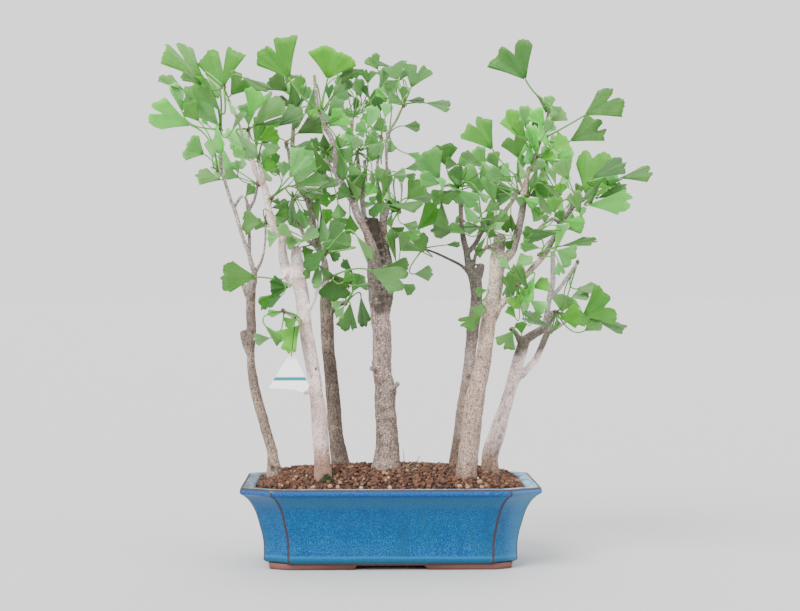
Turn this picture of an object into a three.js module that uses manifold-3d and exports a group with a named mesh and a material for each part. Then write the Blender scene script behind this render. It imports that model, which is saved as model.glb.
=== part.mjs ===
// A forest planting of seven ginkgo trees in a glazed rectangular pot.
// Millimetres, +Z up. The viewer stands on the -Y side, looking along +Y.
import * as THREE from "three";
import { mergeVertices } from "three/addons/utils/BufferGeometryUtils.js";
import Module from "manifold-3d";

const wasm = await Module();
wasm.setup();

// ---------------------------------------------------------------- driving dimensions

const POT_LENGTH = 300; // over the rim, along X
const POT_DEPTH = 190; // over the rim, along Y
const RIM_TOP = 83; // height of the rim's flat top
const RIM_WIDTH = 14; // flat top of the rim, from its edge to the soil
const POT_FLOOR = 14; // height of the floor inside the pot
const CORNER_CUT = [32, 20]; // how much the rim's corners are cut off, along X and Y
const CORNER_CLOSING = 0.009; // the share the cuts lose with each millimetre of inset

// The outer wall from the underside up: height, how far it stands in from the rim's edge.
const WALL = [
  [4, 31],
  [7, 27],
  [11, 23.3],
  [17, 22.6],
  [27, 22.5],
  [36, 21],
  [45, 18.7],
  [54, 16.4],
  [62, 13.4],
  [69, 9.5],
  [74, 5.2],
  [77.5, 0.6],
  [RIM_TOP - 1, 0],
  [RIM_TOP, 1],
];

// The inner wall from the rim down: height, how far it stands in from the rim's edge.
const INNER_WALL = [
  [RIM_TOP, RIM_WIDTH - 1],
  [RIM_TOP - 1.5, RIM_WIDTH],
  [60, RIM_WIDTH + 3],
  [30, RIM_WIDTH + 14],
  [POT_FLOOR, RIM_WIDTH + 20],
];

const FOOT_REACH = [84, 46]; // length of a foot's two legs, along X and Y
const FOOT_WIDTH = 15;
const FOOT_TOP = 5.5; // the feet run up into the underside
const FOOT_INSET = 29; // from the rim's edge to the foot's outer face
const FOOT_CORNER = [16, 9]; // how much a foot's outer corner is cut off
const FOOT_TAPER = 4; // how much shorter a foot's inner side is at each end
const FOOT_THROAT = 6; // how much further the cut reaches on the inner side
const DRAIN_PLACES = [-62, 62]; // the two drain holes, along X
const DRAIN_RADIUS = 11;
const DRAIN_SIDES = 20;
const SCREEN_SIZE = 34; // plastic mesh over a drain hole
const SCREEN_THICK = 1.2;
const SCREEN_CELL = 7; // from one hole's middle to the next
const SCREEN_HOLE = 4.9;

const SOIL_EDGE = 79.5; // height of the soil along the pot's wall
const SOIL_RISE = 17; // how far the middle of the mound stands above its edge
const SOIL_TILT = 5; // what the mound gains at the back and loses at the front
const MOUND_RUN = 26; // how far in from the wall most of the rise is done
const MOUND_ENDS = 0.55; // the share of the rise that is lost at the two ends
const SOIL_CELLS = [13, 8]; // facets of the top, along X and Y
const SOIL_MARGIN = 5; // the top is drawn this far in from the rim's edge
const SOIL_JITTER = 1.5; // how far a facet's corner may lie off its grid, each way
const GRAIN_RELIEF = 1.3;
const STONE_LIFT = 0.6; // how far a stone's middle stands above the mound
const GAP = 0.35; // between pieces that touch

const BLADE = 0.8; // thickness of a leaf
const STALK = 0.75; // radius of a leaf stalk
const FAN_RATIO = 1.35; // width of a leaf laid flat, over its length
const FAN_ANGLE = 0.82; // half the angle a leaf's sides open by, in radians
const KNOB = 3.2; // radius of the spur bud that a tuft of leaves grows from
const STALK_START = 0.5; // how far from the bud's middle its stalks start
const MOST_TURN = 1.2; // the most a leaf is turned about its middle line, in radians
const SLIT_WIDTH = 0.16; // of the cut in a leaf's edge, where the whole edge is 2

const ROOT_DEPTH = 22; // how far a trunk goes down into the soil
const ROOT_FLARE = 1.1; // how much thicker it is at its buried end
const BARK_STEP = 6; // spacing of the points that stand for a stem in the spacing rules

const CLEAR_BLADE = 6.5; // between the middles of two blades, where there is room
const CLEAR_FAMILY = 3; // how much less is enough between leaves of one tuft
const CLEAR_WOOD = 3; // between a blade and a stem's bark
const CLEAR_NECK = 1.3; // between the start of a stalk and the bark
const SHORT_STALK = 12; // stalks shorter than this are all start
const SLIDE = 5; // a leaf that is in the way slides along its sight line by this much
const SLIDES = 13;
const DEPTH_SPREAD = 12; // how far before or behind its spur a leaf may be drawn

const BUD_OFFSET = 1.7; // how far past the twig's end the bud's middle is
const BUD_STAND = 0.8; // how far a bud on a stem's flank stands off the bark
const BUD_REACH = 6; // a stem that ends no further than this from the spur carries it on its end

// The front elevation: u runs right and v runs down in steps of 1.03 mm on the plane
// y = 0, drawn as it looks from 1.9 m in front. A point at another depth slides along
// its sight line, so it keeps its place on the elevation.
const EYE = new THREE.Vector3(-35.7, -1900, 286);
const LEVEL_U = 355;
const LEVEL_V = 283;
const FOCUS = 1845;

const stepAt = (y) => (y - EYE.y) / FOCUS;

function place(u, v, y) {
  const step = stepAt(y);
  return new THREE.Vector3(EYE.x + (u - LEVEL_U) * step, y, EYE.z - (v - LEVEL_V) * step);
}

// ---------------------------------------------------------------- what grows where

// Stems by tree: [depth at the start, depth at the end, then u, v, width of each ring].
const TREES = {
  trunk_1: [
    [15, 6, 274,472,15, 273,460,11.5, 272,450,10, 266,430,10, 260.5,410,10, 255,390,9.6, 253.4,380,9,
      251.2,365,8.2, 251,350,7.4, 251.5,330,9.4, 250.8,310,8.7, 251.5,290,9, 252,280,8],
    [10, 8, 252,358,7, 246,344,7, 243.5,331,7],
    [6, 6, 250,300,6, 246.5,294,4.5, 243,284,4],
    [6, -8, 253.5,286,6, 255,276,5, 251,262,4.7, 248.5,252,4.2, 244,240,4, 240,228,3.6, 236,213,3.7,
      231,200,3.6, 226,184,3.2, 222,170,3.2, 221,150,3, 221,131,2.6],
    [0, -8, 234,208,3.2, 240,198.5,3, 243,196,2.6],
    [6, 34, 249.5,254,4, 249.5,240,3.6, 249,220,3.4, 247,202,3, 245.5,197.5,2.6],
    [28, 36, 249.5,210,3, 254.5,200,2.8, 257,190,2.6, 257.5,186,2.4],
    [6, 18, 255,274,3.4, 262,260,2.6, 265,245,2.2, 266,224,2],
  ],
  trunk_2: [
    [-45, -38, 323,477,18, 322,460,16, 321,446,15.6, 320,430,16, 318.5,412,15.2, 316.5,396,13.4, 314.5,380,13.6,
      312,364,13.4, 309,348,13.8, 306.4,334,13.4, 304,318,13.5, 303,302,13.7, 300.5,288,14.2, 297.5,277,16],
    [-38, -34, 298.5,284,13, 298,268,12, 296.8,256,11, 296,247,9.5],
    [-38, -16, 292,284,10, 285,266,9.6, 282.5,250,8, 282,234,8, 276,230,8, 271,218,6.8, 267.3,202,6.6,
      265,188,6.6, 261,181,6],
    [-20, -26, 263,184,5, 256,173,4.6, 252.6,160,4.4, 249.5,150,4, 249,131,2.8],
    [-18, -12, 264,186,4.4, 262.5,175,4, 259.5,162,3.2],
    [-16, -16, 266,196,3.6, 271,197,3.2],
    [-30, -38, 280,234,4, 282.5,229,4],
    [-40, -52, 287,273,4.4, 284,277,3.6, 281,280,3],
    [-26, -46, 249.5,148,3, 245.5,142,2.8, 238.5,122,2.4, 230,102,2.2, 225,89,1.8],
    [-45, -62, 303,322,4.6, 294,317,3.6, 285,312,2.8],
    [-42, -76, 308,311,5, 314,300,4, 319,284,3.4, 323.5,262,3, 326,254,2.6],
    [-56, -70, 318.5,287,3.6, 324,283,3.4, 330,278,3],
  ],
  trunk_3: [
    [45, 46, 340,463,18, 338,449,16, 336,436,14, 334.5,420,14.4, 333.5,402,14.2, 331.6,382,13.2, 330,366,13,
      328.2,350,13, 327.2,330,13.2, 327,312,13.4, 325.7,298,11, 326,284,7, 325.5,265,5.6, 318,247,6.4],
    [48, 66, 319,249,7, 314,232,7.2, 312,216,7.2, 309.5,202,8, 303,191,7.6, 298,185,6.6],
    [62, 72, 303,194,5, 296,178,4.6, 293,162,4.4, 292.8,140,4.2, 294,122,3.6, 296,112,3],
    [70, 62, 291.5,172,3.2, 289,156,3, 287,144,2.6],
    [47, 88, 317,247,4.4, 311,243,4, 305,237,4, 299,224,3.6, 292.5,212,3.4, 294,200,3],
    [45, 22, 331,313,4.6, 339,305,4.2, 345,303,3.4],
  ],
  trunk_4: [
    [0, 2, 386,473,32, 386.6,462,27, 387,448,23.5, 386.6,434,21.6, 385.4,416,20.6, 385,402,20, 385.6,390,21,
      383,378,19, 381.8,362,19, 382.3,346,19, 381.6,330,18.6, 380.2,314,19.6, 381,300,24, 380.6,286,25,
      379.6,272,25, 377,256,20, 373,236,18, 371,219,15],
    [-6, -28, 381,266,9, 375,250,7, 367.5,234,7, 358.5,217,7.4, 353.5,203,7.4, 345,188,6.4, 337,175,6.8],
    [-28, -56, 338,178,6, 336,164,6, 334,150,5, 330,135,5, 324.5,127,4.6, 322,114,3.8],
    [-54, -60, 322.4,118,3.8, 318.5,110,3.6, 316,92,3.4, 314.4,75,3],
    [-28, -32, 334.4,173,3.4, 330,166,3.2, 326.4,156,2.6],
    [-19, 28, 356,209,5.4, 353,180,4.4, 350.6,160,4, 351,140,3.8, 352.6,118,3.4],
    [0, -12, 366,226,5.6, 362.5,204,5, 360.4,180,4.2, 357.4,154,3],
    [-5, -14, 362.5,200,4, 365.6,180,4, 364.5,160,3.4],
    [0, 12, 388,264,10, 385.4,250,8.4, 384,236,7.8, 383,222,7.6, 384,212,7.4],
    [12, 42, 383.5,216,5.4, 379.6,200,4.4, 377.4,180,3.6, 378,158,3.2, 381,139,2.6],
    [10, -34, 385.5,217,5.4, 388.4,200,4.6, 387.4,182,3.4, 386.5,158,3, 387.5,135,3, 396,121,2.6, 403,106,2.4],
    [6, -4, 388,205,3.4, 393,207,3, 398,210,2.6],
    [2, -14, 388,286,7, 394,284,4.6, 398,283,3.4],
  ],
  trunk_5: [
    [50, 66, 457,463,15, 458,448,13, 460.4,430,12, 462.5,410,12, 465.6,392,11.6, 468.4,374,11.4, 470,358,11.4,
      471.6,344,11.2, 473.4,328,12, 475.4,312,11.8, 476.6,296,11.4, 475.8,282,12.6, 473,270,12],
    [64, 66, 476,284,8, 480,272,8, 481,264,7.4],
    [65, 76, 472,276,8, 468.4,264,6.8, 466.8,252,6.4, 463.8,240,5.8, 461.6,226,4.6, 460.6,206,4.4, 458,188,3.2],
    [70, 96, 467,254,5, 476,243,4.8, 483,230,4.8, 493,221,4.6, 505,211,4.4, 512,202,4, 518,193,3.4],
    [68, 62, 472.5,268,4, 474.5,260,3.4, 476,253,2.8],
    [66, 92, 469,274,3.4, 462,266,3, 450,259.5,2.6, 436,253,2.4, 425,249,2],
  ],
  trunk_6: [
    [-35, -44, 466.5,480,22, 466.6,470,20.6, 468.4,456,19.8, 470.4,438,19.6, 472.6,418,19.8, 475.6,398,19,
      479,380,17.6, 482.6,366,15.4, 485,350,15, 487.2,332,15.2, 490,314,15, 493.6,296,15.2, 496.2,280,14.6,
      497,262,14.2, 498.6,248,13, 500.2,235,11.4],
    [-38, -58, 492,322,9, 499,308,7, 507,299,6.2, 514,289,5.8, 523,279,5.6, 533,268,6, 541,259,6.2, 547,251,6.2],
    [-58, -74, 546,253,5.4, 551,244,5.2, 557,232,5, 560,225,5.2, 566,216,5, 571.5,209,5, 575,199,4],
    [-72, -90, 571.5,209,3.2, 580,203,2.6, 595,193,2.2, 606,188,2],
    [-66, -92, 560,222,3.6, 552,219,3.6, 543,225,3.4, 538,230,3],
    [-58, -62, 543,259,4, 541,255,3.4],
    [-44, -54, 494,250,5, 488,247,3.6],
    [-40, -52, 487,311,5, 481,304,3.6],
    [-42, -12, 498,268,10, 505,260,9.2, 512,251,9, 515.5,240,8.6, 519,228,7.6, 522,214,7, 524,200,6.4,
      525,190,5.6, 527,178,5.2, 530,167,5],
    [-19, -22, 524,190,3.6, 519,179,2.8],
    [-12, -12, 529,172,4.6, 534,164,4, 537,152,3.6, 541,139,3.2, 546,125,2.8, 550,107,2.4],
    [-46, -52, 512,294,4, 517,286,3.2],
  ],
  trunk_7: [
    [15, 15, 490.6,473,18, 490,461,16.8, 492,449,16.8, 497,435,16, 501.5,420,14.2, 506,406,12.4, 510.4,391,11.8,
      514.4,378,12.6, 518.6,361,12, 522.2,349,11.6, 525.6,338,11],
    [14, 8, 522,345,6.4, 516.5,334,4.6, 513,330,3.6],
    [15, 0, 524,341,9, 535,334,8.4, 543,329,8, 550,320,7.6, 555,312,6.6],
    [15, 40, 519,377,8, 527,370,7, 535.5,360,6.2, 541,349,6.2, 546,337,6.4, 551.4,324,5.8],
    [33, 48, 548,333,4, 557,328,3.4, 568,321,2.6],
    [4, 10, 545,325,5.4, 548,310,5.2, 550,297,5.2, 553,284,5.2, 553.4,268,5, 553,251,4.4],
    [9, 34, 551.6,296,4.6, 558,290.6,4.2, 566,280,3.6, 577,264,2.6],
    [12, -12, 539,334,3.4, 545,329,3, 552,319,2.6, 556,313,2.4],
  ],
};

// Tufts of leaves: the tree, where the spur is (u, v, depth), then each leaf as the place
// of its base, the middle of its edge, its width as seen from the front and how deep the
// edge is cut (0 for a plain fan).
const TUFTS = {
  tuft_1_top: [221,131,-12, [205,82,171,45,30,.5, 221,92,217,49,49,.55, 219,126,188,89,36,0, 185,91,160,79,15,0]],
  tuft_1_left: [219,173,-10, [200,122,185,106,20,0, 192,126,151,112,30,.3, 205,155,188,146,29,.1,
    222,180,197,176,17,0, 213,160,214,139,15,0]],
  tuft_1_twig: [266,224,18, [262,222,242,221,26,.15, 272,208,289,203,14,0]],
  tuft_1_right: [257.5,186,34, [236,170,216,158,19,.2, 240,178,224,173,12,0, 250,160,226,132,20,0,
    246,196,254,186,14,0, 238,173,238,161,12,0]],
  tuft_2_shoot: [225,89,-46, [231,96,247,77,25,.3, 221,112,198,78,20,.1, 203,86,186,71,14,0]],
  tuft_2_top: [249,131,-26, [250,118,257,88,19,0, 254,126,279,96,33,.2, 249,126,251,104,16,0,
    259,141,277,131,19,0]],
  tuft_2_arm: [259.5,162,-12, [275,127,303,112,23,0, 262,170,275,163,19,0, 265,180,267,148,10,0]],
  tuft_2_hero: [271,197,-18, [289,178,310,154,35,.1, 292,186,330,182,15,.2, 283,178,286,162,13,0,
    275,216,288,212,17,0]],
  tuft_2_node: [282.5,229,-38, [294,238,279,226,14,0, 278,237,268,238,19,0]],
  tuft_2_crotch: [281,280,-52, [257,277,221,277,32,.15, 289,287,270,287,24,.1, 283,291,264,311,11,0]],
  tuft_2_low: [285,312,-62, [283,312,268,315,9,0, 297,319,286,326,14,0, 300,325,279,346,28,.3,
    270,338,254,339,14,0]],
  tuft_2_front: [326,254,-76, [328,248,305,269,17,.2, 329,252,338,260,12,0]],
  tuft_2_stub: [330,278,-70, [370,270,406,281,31,.15, 343,282,352,274,14,0]],
  tuft_3_top: [296,112,72, [288,92,270,78,24,.1, 290,96,284,84,13,0, 294,106,274,98,17,0, 302,98,297,76,15,0,
    301,103,310,88,14,0]],
  tuft_3_stub: [287,144,62, [297,134,320,119,24,0, 300,148,316,154,22,.1, 278,138,262,134,20,0]],
  tuft_3_back: [294,200,88, [299,208,305,228,20,0, 306,184,329,176,14,0, 312,200,330,196,22,.1]],
  tuft_3_fork: [313,245,52, [314,250,303,254,15,0, 325,226,327,209,16,0, 324,244,346,227,33,.2]],
  tuft_3_right: [345,303,22, [350,303,352,331,20,.4, 342,301,332,306,12,0, 352,292,362,275,17,0,
    353,274,345,259,9,0]],
  tuft_4_crown: [322,114,-56, [327.5,80,336,51,49,.12, 290,80,270,42,46,.35, 334,95,346,77,17,0,
    341,85,353,69,15,0]],
  tuft_4_fork: [324.5,127,-48, [329,127,343,111,23,.1, 327,118,343,102,18,0, 330,104,346,89,18,0]],
  tuft_4_left: [326.4,156,-32, [320,152,310,140,16,0, 338,203,341,218,15,0]],
  tuft_4_middle: [352.6,118,28, [357,97,357,79,13,0, 368,84,367,70,17,.3, 378,70,371,55,17,.2]],
  tuft_4_inner: [357.2,152,-12, [366,196,374,184,16,0, 350,214,351,234,14,0, 366,146,376,160,16,.1]],
  tuft_4_back: [381,139,42, [380,113,377,96,20,.1, 385,118,387,103,14,0, 371,126,364,114,13,0, 371,130,387,124,17,.2,
    379,144,367,136,19,0, 381,160,380,142,13,0]],
  tuft_4_node: [387.5,135,-18, [391,101,389,81,20,0, 389,140,392,152,11,0, 404,126,420,127,13,0]],
  tuft_4_right: [403,106,-36, [398,80,391,63,34,.15, 411,88,420,64,30,.45, 403,100,404,86,13,0, 407,101,424,100,10,0,
    426,103,451,106,16,.3]],
  tuft_4_side: [398,210,-4, [407,200,421,182,23,.2, 405,169,419,166,7,0, 403,224,417,229,12,0, 388,205,423,201,8,0,
    390,175,374,175,14,0, 392,175,406,176,14,0]],
  tuft_4_spur: [398,283,-14, [386,266,409,267,19,.1, 402,284,414,291,14,0, 400,252,403,233,13,0, 396,262,394,229,10,0]],
  tuft_5_twig: [425,249,92, [417,230,440,206,25,.1, 410,240,428,241,21,0, 414,274,433,273,15,.1, 446,245,460,244,7,0]],
  tuft_5_top: [458,188,76, [446,166,442,144,30,.1, 440,180,422,153,31,.1, 441,184,420,176,19,0, 459,189,451,169,16,0,
    462,190,456,203,14,0, 448,191,431,198,17,0]],
  tuft_5_bend: [483,230,84, [479,197,475,163,36,.5, 462,227,432,229,15,0, 510,232,497,219,17,0]],
  tuft_5_right: [518,193,96, [486,168,472,150,26,.1, 498,168,490,153,15,0, 512,182,496,169,21,0,
    514,190,495,193,19,0]],
  tuft_6_spur: [488,247,-54, [511,270,500,260,12,0, 497,222,508,214,16,0]],
  tuft_6_low: [481,304,-52, [485,312,461,325,15,.3, 487,290,476,291,10,0]],
  tuft_6_back: [519,179,-22, [493,150,474,120,38,.2, 518,158,513,136,26,.2, 505,176,490,176,17,0]],
  tuft_6_cut: [527,192,-19, [530,196,548,184,20,0, 525,198,536,207,13,0, 530,206,544,215,19,0, 548,213,557,197,17,0]],
  tuft_6_shoot: [536,155,-12, [519,139,510,110,17,0, 527,130,523,106,13,0, 534,136,538,121,14,0, 541,161,554,153,13,0,
    556,184,553,167,11,0, 559,185,566,171,11,0]],
  tuft_6_tip: [550,107,-12, [526,80,508,45,46,.3, 545,126,534,109,18,0, 550,110,547,96,15,0, 549,122,564,110,14,0]],
  tuft_6_high: [541,139,-12, [545,134,553,121,13,0, 585,115,619,94,36,.35, 570,141,604,126,30,.2, 552,148,568,140,20,0]],
  tuft_6_right: [575,199,-74, [569,180,559,160,25,.1, 586,195,595,151,38,.15, 572,210,570,225,11,0]],
  tuft_6_end: [606,188,-90, [592,178,625,161,18,.1, 620,178,652,171,17,.1, 598,198,627,186,13,0, 588,205,632,199,22,.1]],
  tuft_6_side: [541,255,-62, [568,229,584,225,18,0, 561,246,596,242,9,0, 557,250,575,259,26,.1]],
  tuft_6_front: [538,230,-92, [540,232,523,233,16,0, 540,248,521,245,12,0]],
  tuft_6_inner: [517,286,-52, [514,270,531,256,13,0, 514,297,509,273,13,0, 530,300,545,312,15,.1, 521,294,512,307,17,0,
    532,288,549,281,15,0]],
  tuft_7_left: [513,330,8, [513,331,503,348,21,.3, 522,334,521,322,14,0, 526,316,524,300,11,0]],
  tuft_7_high: [577,264,34, [576,289,601,291,14,0, 562,312,567,294,29,.1, 571,298,589,293,14,0]],
  tuft_7_tip: [556,313,-12, [583,316,613,302,44,.3, 560,318,582,316,27,.1, 585,331,601,322,17,0]],
};
// Leaves that fill in between and behind those: the tuft, how far behind its spur they
// start, then each leaf as above.
const INNER_LEAVES = {
  tuft_1_right: [0, [246,152,232,142,15,0]],
  tuft_2_arm: [6, [277,172,273,153,10,0]],
  tuft_2_hero: [10, [290,168,282,165,8,0]],
  tuft_2_node: [0, [302,240,286,240,16,0]],
  tuft_2_front: [8, [318,262,316,288,12,0, 312,262,305,278,9,0]],
  tuft_2_stub: [0, [335,277,334,299,34,0]],
  tuft_3_stub: [0, [290,149,314,144,13,0]],
  tuft_4_crown: [0, [339,77,355,73,11,0]],
  tuft_4_fork: [14, [350,90,338,76,14,0, 353,97,334,90,15,0]],
  tuft_4_left: [24, [338,138,326,161,22,0, 353,147,341,158,18,0, 352,196,338,190,18,0, 366,175,348,177,20,.1]],
  tuft_4_middle: [0, [361,98,356,82,14,0, 354,117,356,98,7,0]],
  tuft_4_inner: [0, [352,150,345,133,16,0, 353,151,358,137,14,0, 368,133,357,124,14,0, 384,143,369,154,12,0,
    354,136,347,129,8,0]],
  tuft_4_back: [0, [368,100,379,91,10,0]],
  tuft_4_right: [0, [400,80,384,85,8,0, 402,99,405,87,9,0, 402,103,389,96,13,0]],
  tuft_4_side: [8, [390,172,376,176,12,0, 378,182,385,203,8,0, 378,195,371,203,8,0, 379,200,375,218,11,0,
    386,200,399,207,14,0, 392,213,391,226,8,0, 391,227,401,236,14,0]],
  tuft_5_top: [0, [480,163,461,156,15,0, 463,203,476,221,14,0, 462,197,468,207,9,0, 462,181,453,168,16,0]],
  tuft_5_bend: [0, [476,201,471,192,9,0, 484,212,499,204,13,0, 483,224,494,212,11,0, 466,222,456,218,9,0,
    482,227,464,228,14,0, 482,232,503,221,10,0, 487,249,475,252,12,0]],
  tuft_5_right: [0, [497,178,510,170,10,0, 484,160,495,156,8,0]],
  tuft_6_spur: [10, [498,236,489,232,10,0, 514,240,506,247,10,0]],
  tuft_6_back: [8, [518,160,522,141,15,0, 522,170,524,155,10,0]],
  tuft_6_cut: [8, [548,160,570,170,15,0, 534,186,548,176,13,0, 557,196,538,189,15,0]],
  tuft_6_shoot: [0, [541,163,553,149,19,0, 549,149,558,137,13,0, 551,158,573,150,17,0, 532,172,546,163,11,0]],
  tuft_6_right: [0, [560,196,561,183,14,0, 577,200,578,183,11,0, 574,210,587,208,7,0, 566,221,584,226,17,0]],
  tuft_6_front: [0, [555,213,553,197,16,0, 563,222,558,211,10,0]],
  tuft_6_inner: [0, [533,322,538,312,12,0, 516,318,510,306,11,0]],
  tuft_7_tip: [0, [595,320,626,327,12,0, 553,332,558,320,8,0]],
};
const LOOK_NUMBERS = 6; // how many numbers describe one leaf
const YOUNG_WIDTH = 13.5; // leaves seen narrower than this are too slight for solids of their own

// The paper tag hangs on a thread from the left spur of the second tree.
const TAG_PLANE = -72; // depth of the tag and its thread
const TAG_THICK = 0.8;
const TAG_OUTLINE = [292,350, 309.6,386.4, 303,393, 295,389.6, 268.4,388];
const TAG_EYE = [291.6, 355.4, 1.7]; // u, v and radius of the hole in it
const THREAD_RADIUS = 0.4;
const THREAD = [
  [294.2, 319.4, -54.6],
  [294.3, 319.9, -57],
  [294.3, 320.2, -59.6],
  [294.5, 321.6, -62],
  [294.6, 324, -65],
  [294.5, 327.6, -68],
  [294.1, 332, -70.4],
  [293.5, 337, -72],
  [292.9, 342, -73],
  [292.3, 347, -73.4],
  [291.9, 351, -73.6],
  [291.6, 355.2, -73.6],
];

// Pale stones that lie on the soil along the front: u, v, depth, radius.
const STONES = [
  [313,487,-76,3.4], [330,485,-74,3.6], [338,487,-76,3], [340,480,-66,3], [361,488,-77,3], [390,488,-77,3.2],
  [460,485,-74,3.4], [468,486,-76,3.4], [482,485,-75,3], [480,475,-62,3.4],
];

const WOOD_COLOURS = {
  trunk_1: 0x8b7f6e,
  trunk_2: 0xa89a8c,
  trunk_3: 0x6b5848,
  trunk_4: 0x8c7f70,
  trunk_5: 0x857a6c,
  trunk_6: 0x9a8b78,
  trunk_7: 0xa4937d,
};
const LEAF_COLOURS = [0x6fa03c, 0x7cae48, 0x5c8a34, 0x86b65c];

// ---------------------------------------------------------------- solids

// A closed solid from a list of points and a list of triangles.
function solid(points, faces) {
  const vertProperties = new Float32Array(points.flatMap((p) => [p.x, p.y, p.z]));
  return new wasm.Manifold(new wasm.Mesh({ numProp: 3, vertProperties, triVerts: new Uint32Array(faces.flat()) }));
}

// A closed solid from a three.js geometry.
function solidOf(geometry) {
  const bare = geometry.clone();
  bare.deleteAttribute("normal");
  bare.deleteAttribute("uv");
  const merged = mergeVertices(bare, 1e-4);
  return new wasm.Manifold(
    new wasm.Mesh({
      numProp: 3,
      vertProperties: new Float32Array(merged.attributes.position.array),
      triVerts: new Uint32Array(merged.index.array),
    }),
  );
}

// The largest of the bodies that a cut leaves.
function mainBody(cut) {
  const bodies = cut.decompose();
  return bodies.reduce((best, body) => (body.volume() > best.volume() ? body : best));
}

function meshOf(shape, name, material) {
  const { vertProperties, triVerts, numProp } = shape.getMesh();
  const count = vertProperties.length / numProp;
  const positions = new Float32Array(count * 3);
  for (let i = 0; i < count; i += 1) {
    positions.set(vertProperties.subarray(i * numProp, i * numProp + 3), i * 3);
  }
  const geometry = new THREE.BufferGeometry();
  geometry.setAttribute("position", new THREE.BufferAttribute(positions, 3));
  geometry.setIndex(new THREE.BufferAttribute(new Uint32Array(triVerts), 1));
  geometry.computeVertexNormals();
  const mesh = new THREE.Mesh(geometry, material);
  mesh.name = name;
  return mesh;
}

// Joins equal rings of points, from one end to the other, into a closed solid.
function loft(rings) {
  const sides = rings[0].length;
  const faces = [];
  rings.slice(1).forEach((_, band) => {
    for (let i = 0; i < sides; i += 1) {
      const next = (i + 1) % sides;
      const [a, b] = [band * sides + i, band * sides + next];
      faces.push([a, b, b + sides], [a, b + sides, a + sides]);
    }
  });
  const last = (rings.length - 1) * sides;
  for (let i = 1; i < sides - 1; i += 1) {
    faces.push([0, i + 1, i], [last, last + i, last + i + 1]);
  }
  return solid(rings.flat(), faces);
}

// A tapered tube through a list of { at, radius }, with flat cut ends. grow widens it.
function tube(path, sides, grow = 0) {
  let across = new THREE.Vector3(1, 0, 0);
  const rings = path.map(({ at, radius }, i) => {
    const before = path[Math.max(i - 1, 0)].at;
    const after = path[Math.min(i + 1, path.length - 1)].at;
    const along = after.clone().sub(before).normalize();
    across = across.clone().addScaledVector(along, -across.dot(along)).normalize();
    const up = along.clone().cross(across);
    return Array.from({ length: sides }, (_, k) => {
      const turn = (k / sides) * 2 * Math.PI;
      return at
        .clone()
        .addScaledVector(across, Math.cos(turn) * (radius + grow))
        .addScaledVector(up, Math.sin(turn) * (radius + grow));
    });
  });
  return loft(rings);
}

// ---------------------------------------------------------------- pot, screens and soil

// The pot's plan at one height: a rectangle with its corners cut, drawn inset from the rim.
function plan(inset, z) {
  const x = POT_LENGTH / 2 - inset;
  const y = POT_DEPTH / 2 - inset;
  const [cx, cy] = CORNER_CUT.map((c) => c * (1 - inset * CORNER_CLOSING));
  return [
    [x, -y + cy],
    [x, y - cy],
    [x - cx, y],
    [-x + cx, y],
    [-x, y - cy],
    [-x, -y + cy],
    [-x + cx, -y],
    [x - cx, -y],
  ].map(([px, py]) => new THREE.Vector3(px, py, z));
}

function foot(signX, signY) {
  const x = POT_LENGTH / 2 - FOOT_INSET;
  const y = POT_DEPTH / 2 - FOOT_INSET;
  const [cx, cy] = FOOT_CORNER;
  const outline = [
    [x, y - FOOT_REACH[1]],
    [x, y - cy],
    [x - cx, y],
    [x - FOOT_REACH[0], y],
    [x - FOOT_REACH[0] + FOOT_TAPER, y - FOOT_WIDTH],
    [x - cx - FOOT_TAPER, y - FOOT_WIDTH],
    [x - FOOT_WIDTH, y - cy - FOOT_THROAT],
    [x - FOOT_WIDTH, y - FOOT_REACH[1] + FOOT_TAPER],
  ].map(([px, py]) => new THREE.Vector2(signX * px, signY * py));
  return solidOf(new THREE.ExtrudeGeometry(new THREE.Shape(outline), { depth: FOOT_TOP, bevelEnabled: false }));
}

function buildPot() {
  const outside = WALL.map(([z, inset]) => plan(inset, z));
  const inside = INNER_WALL.map(([z, inset]) => plan(inset, z));
  let pot = loft([...outside, ...inside]);
  for (const signX of [-1, 1]) {
    for (const signY of [-1, 1]) {
      pot = pot.add(foot(signX, signY));
    }
  }
  for (const x of DRAIN_PLACES) {
    const hole = new THREE.CylinderGeometry(DRAIN_RADIUS, DRAIN_RADIUS, 3 * POT_FLOOR, DRAIN_SIDES);
    pot = pot.subtract(solidOf(hole.rotateX(Math.PI / 2).translate(x, 0, 0)));
  }
  return pot;
}

// A square of plastic mesh: a plate with rows of square holes.
function buildScreen(x) {
  const plate = new THREE.BoxGeometry(SCREEN_SIZE, SCREEN_SIZE, SCREEN_THICK);
  let screen = solidOf(plate);
  for (const row of [-0.5, 0.5]) {
    for (const column of [-0.5, 0.5]) {
      const hole = new THREE.BoxGeometry(SCREEN_HOLE, SCREEN_HOLE, 3 * SCREEN_THICK);
      screen = screen.subtract(solidOf(hole.translate(column * SCREEN_CELL, row * SCREEN_CELL, 0)));
    }
  }
  return screen.translate([x, 0, POT_FLOOR + GAP + SCREEN_THICK / 2]);
}

// Seeded draws between 0 and 1, by the Park-Miller rule.
function draws(seed) {
  let state = seed;
  return () => {
    state = (state * 48271) % 2147483647;
    return state / 2147483647;
  };
}

// Height of the smooth mound: a low edge, rising towards the middle and the back.
function mound(x, y) {
  const wall = Math.min(POT_LENGTH / 2 - RIM_WIDTH - Math.abs(x), POT_DEPTH / 2 - RIM_WIDTH - Math.abs(y));
  const rise = SOIL_RISE + (SOIL_TILT * y) / (POT_DEPTH / 2 - RIM_WIDTH);
  const slope = 1 - Math.exp(-Math.max(wall, 0) / MOUND_RUN);
  return SOIL_EDGE + rise * slope * (1 - MOUND_ENDS * (x / (POT_LENGTH / 2)) ** 2);
}

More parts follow.
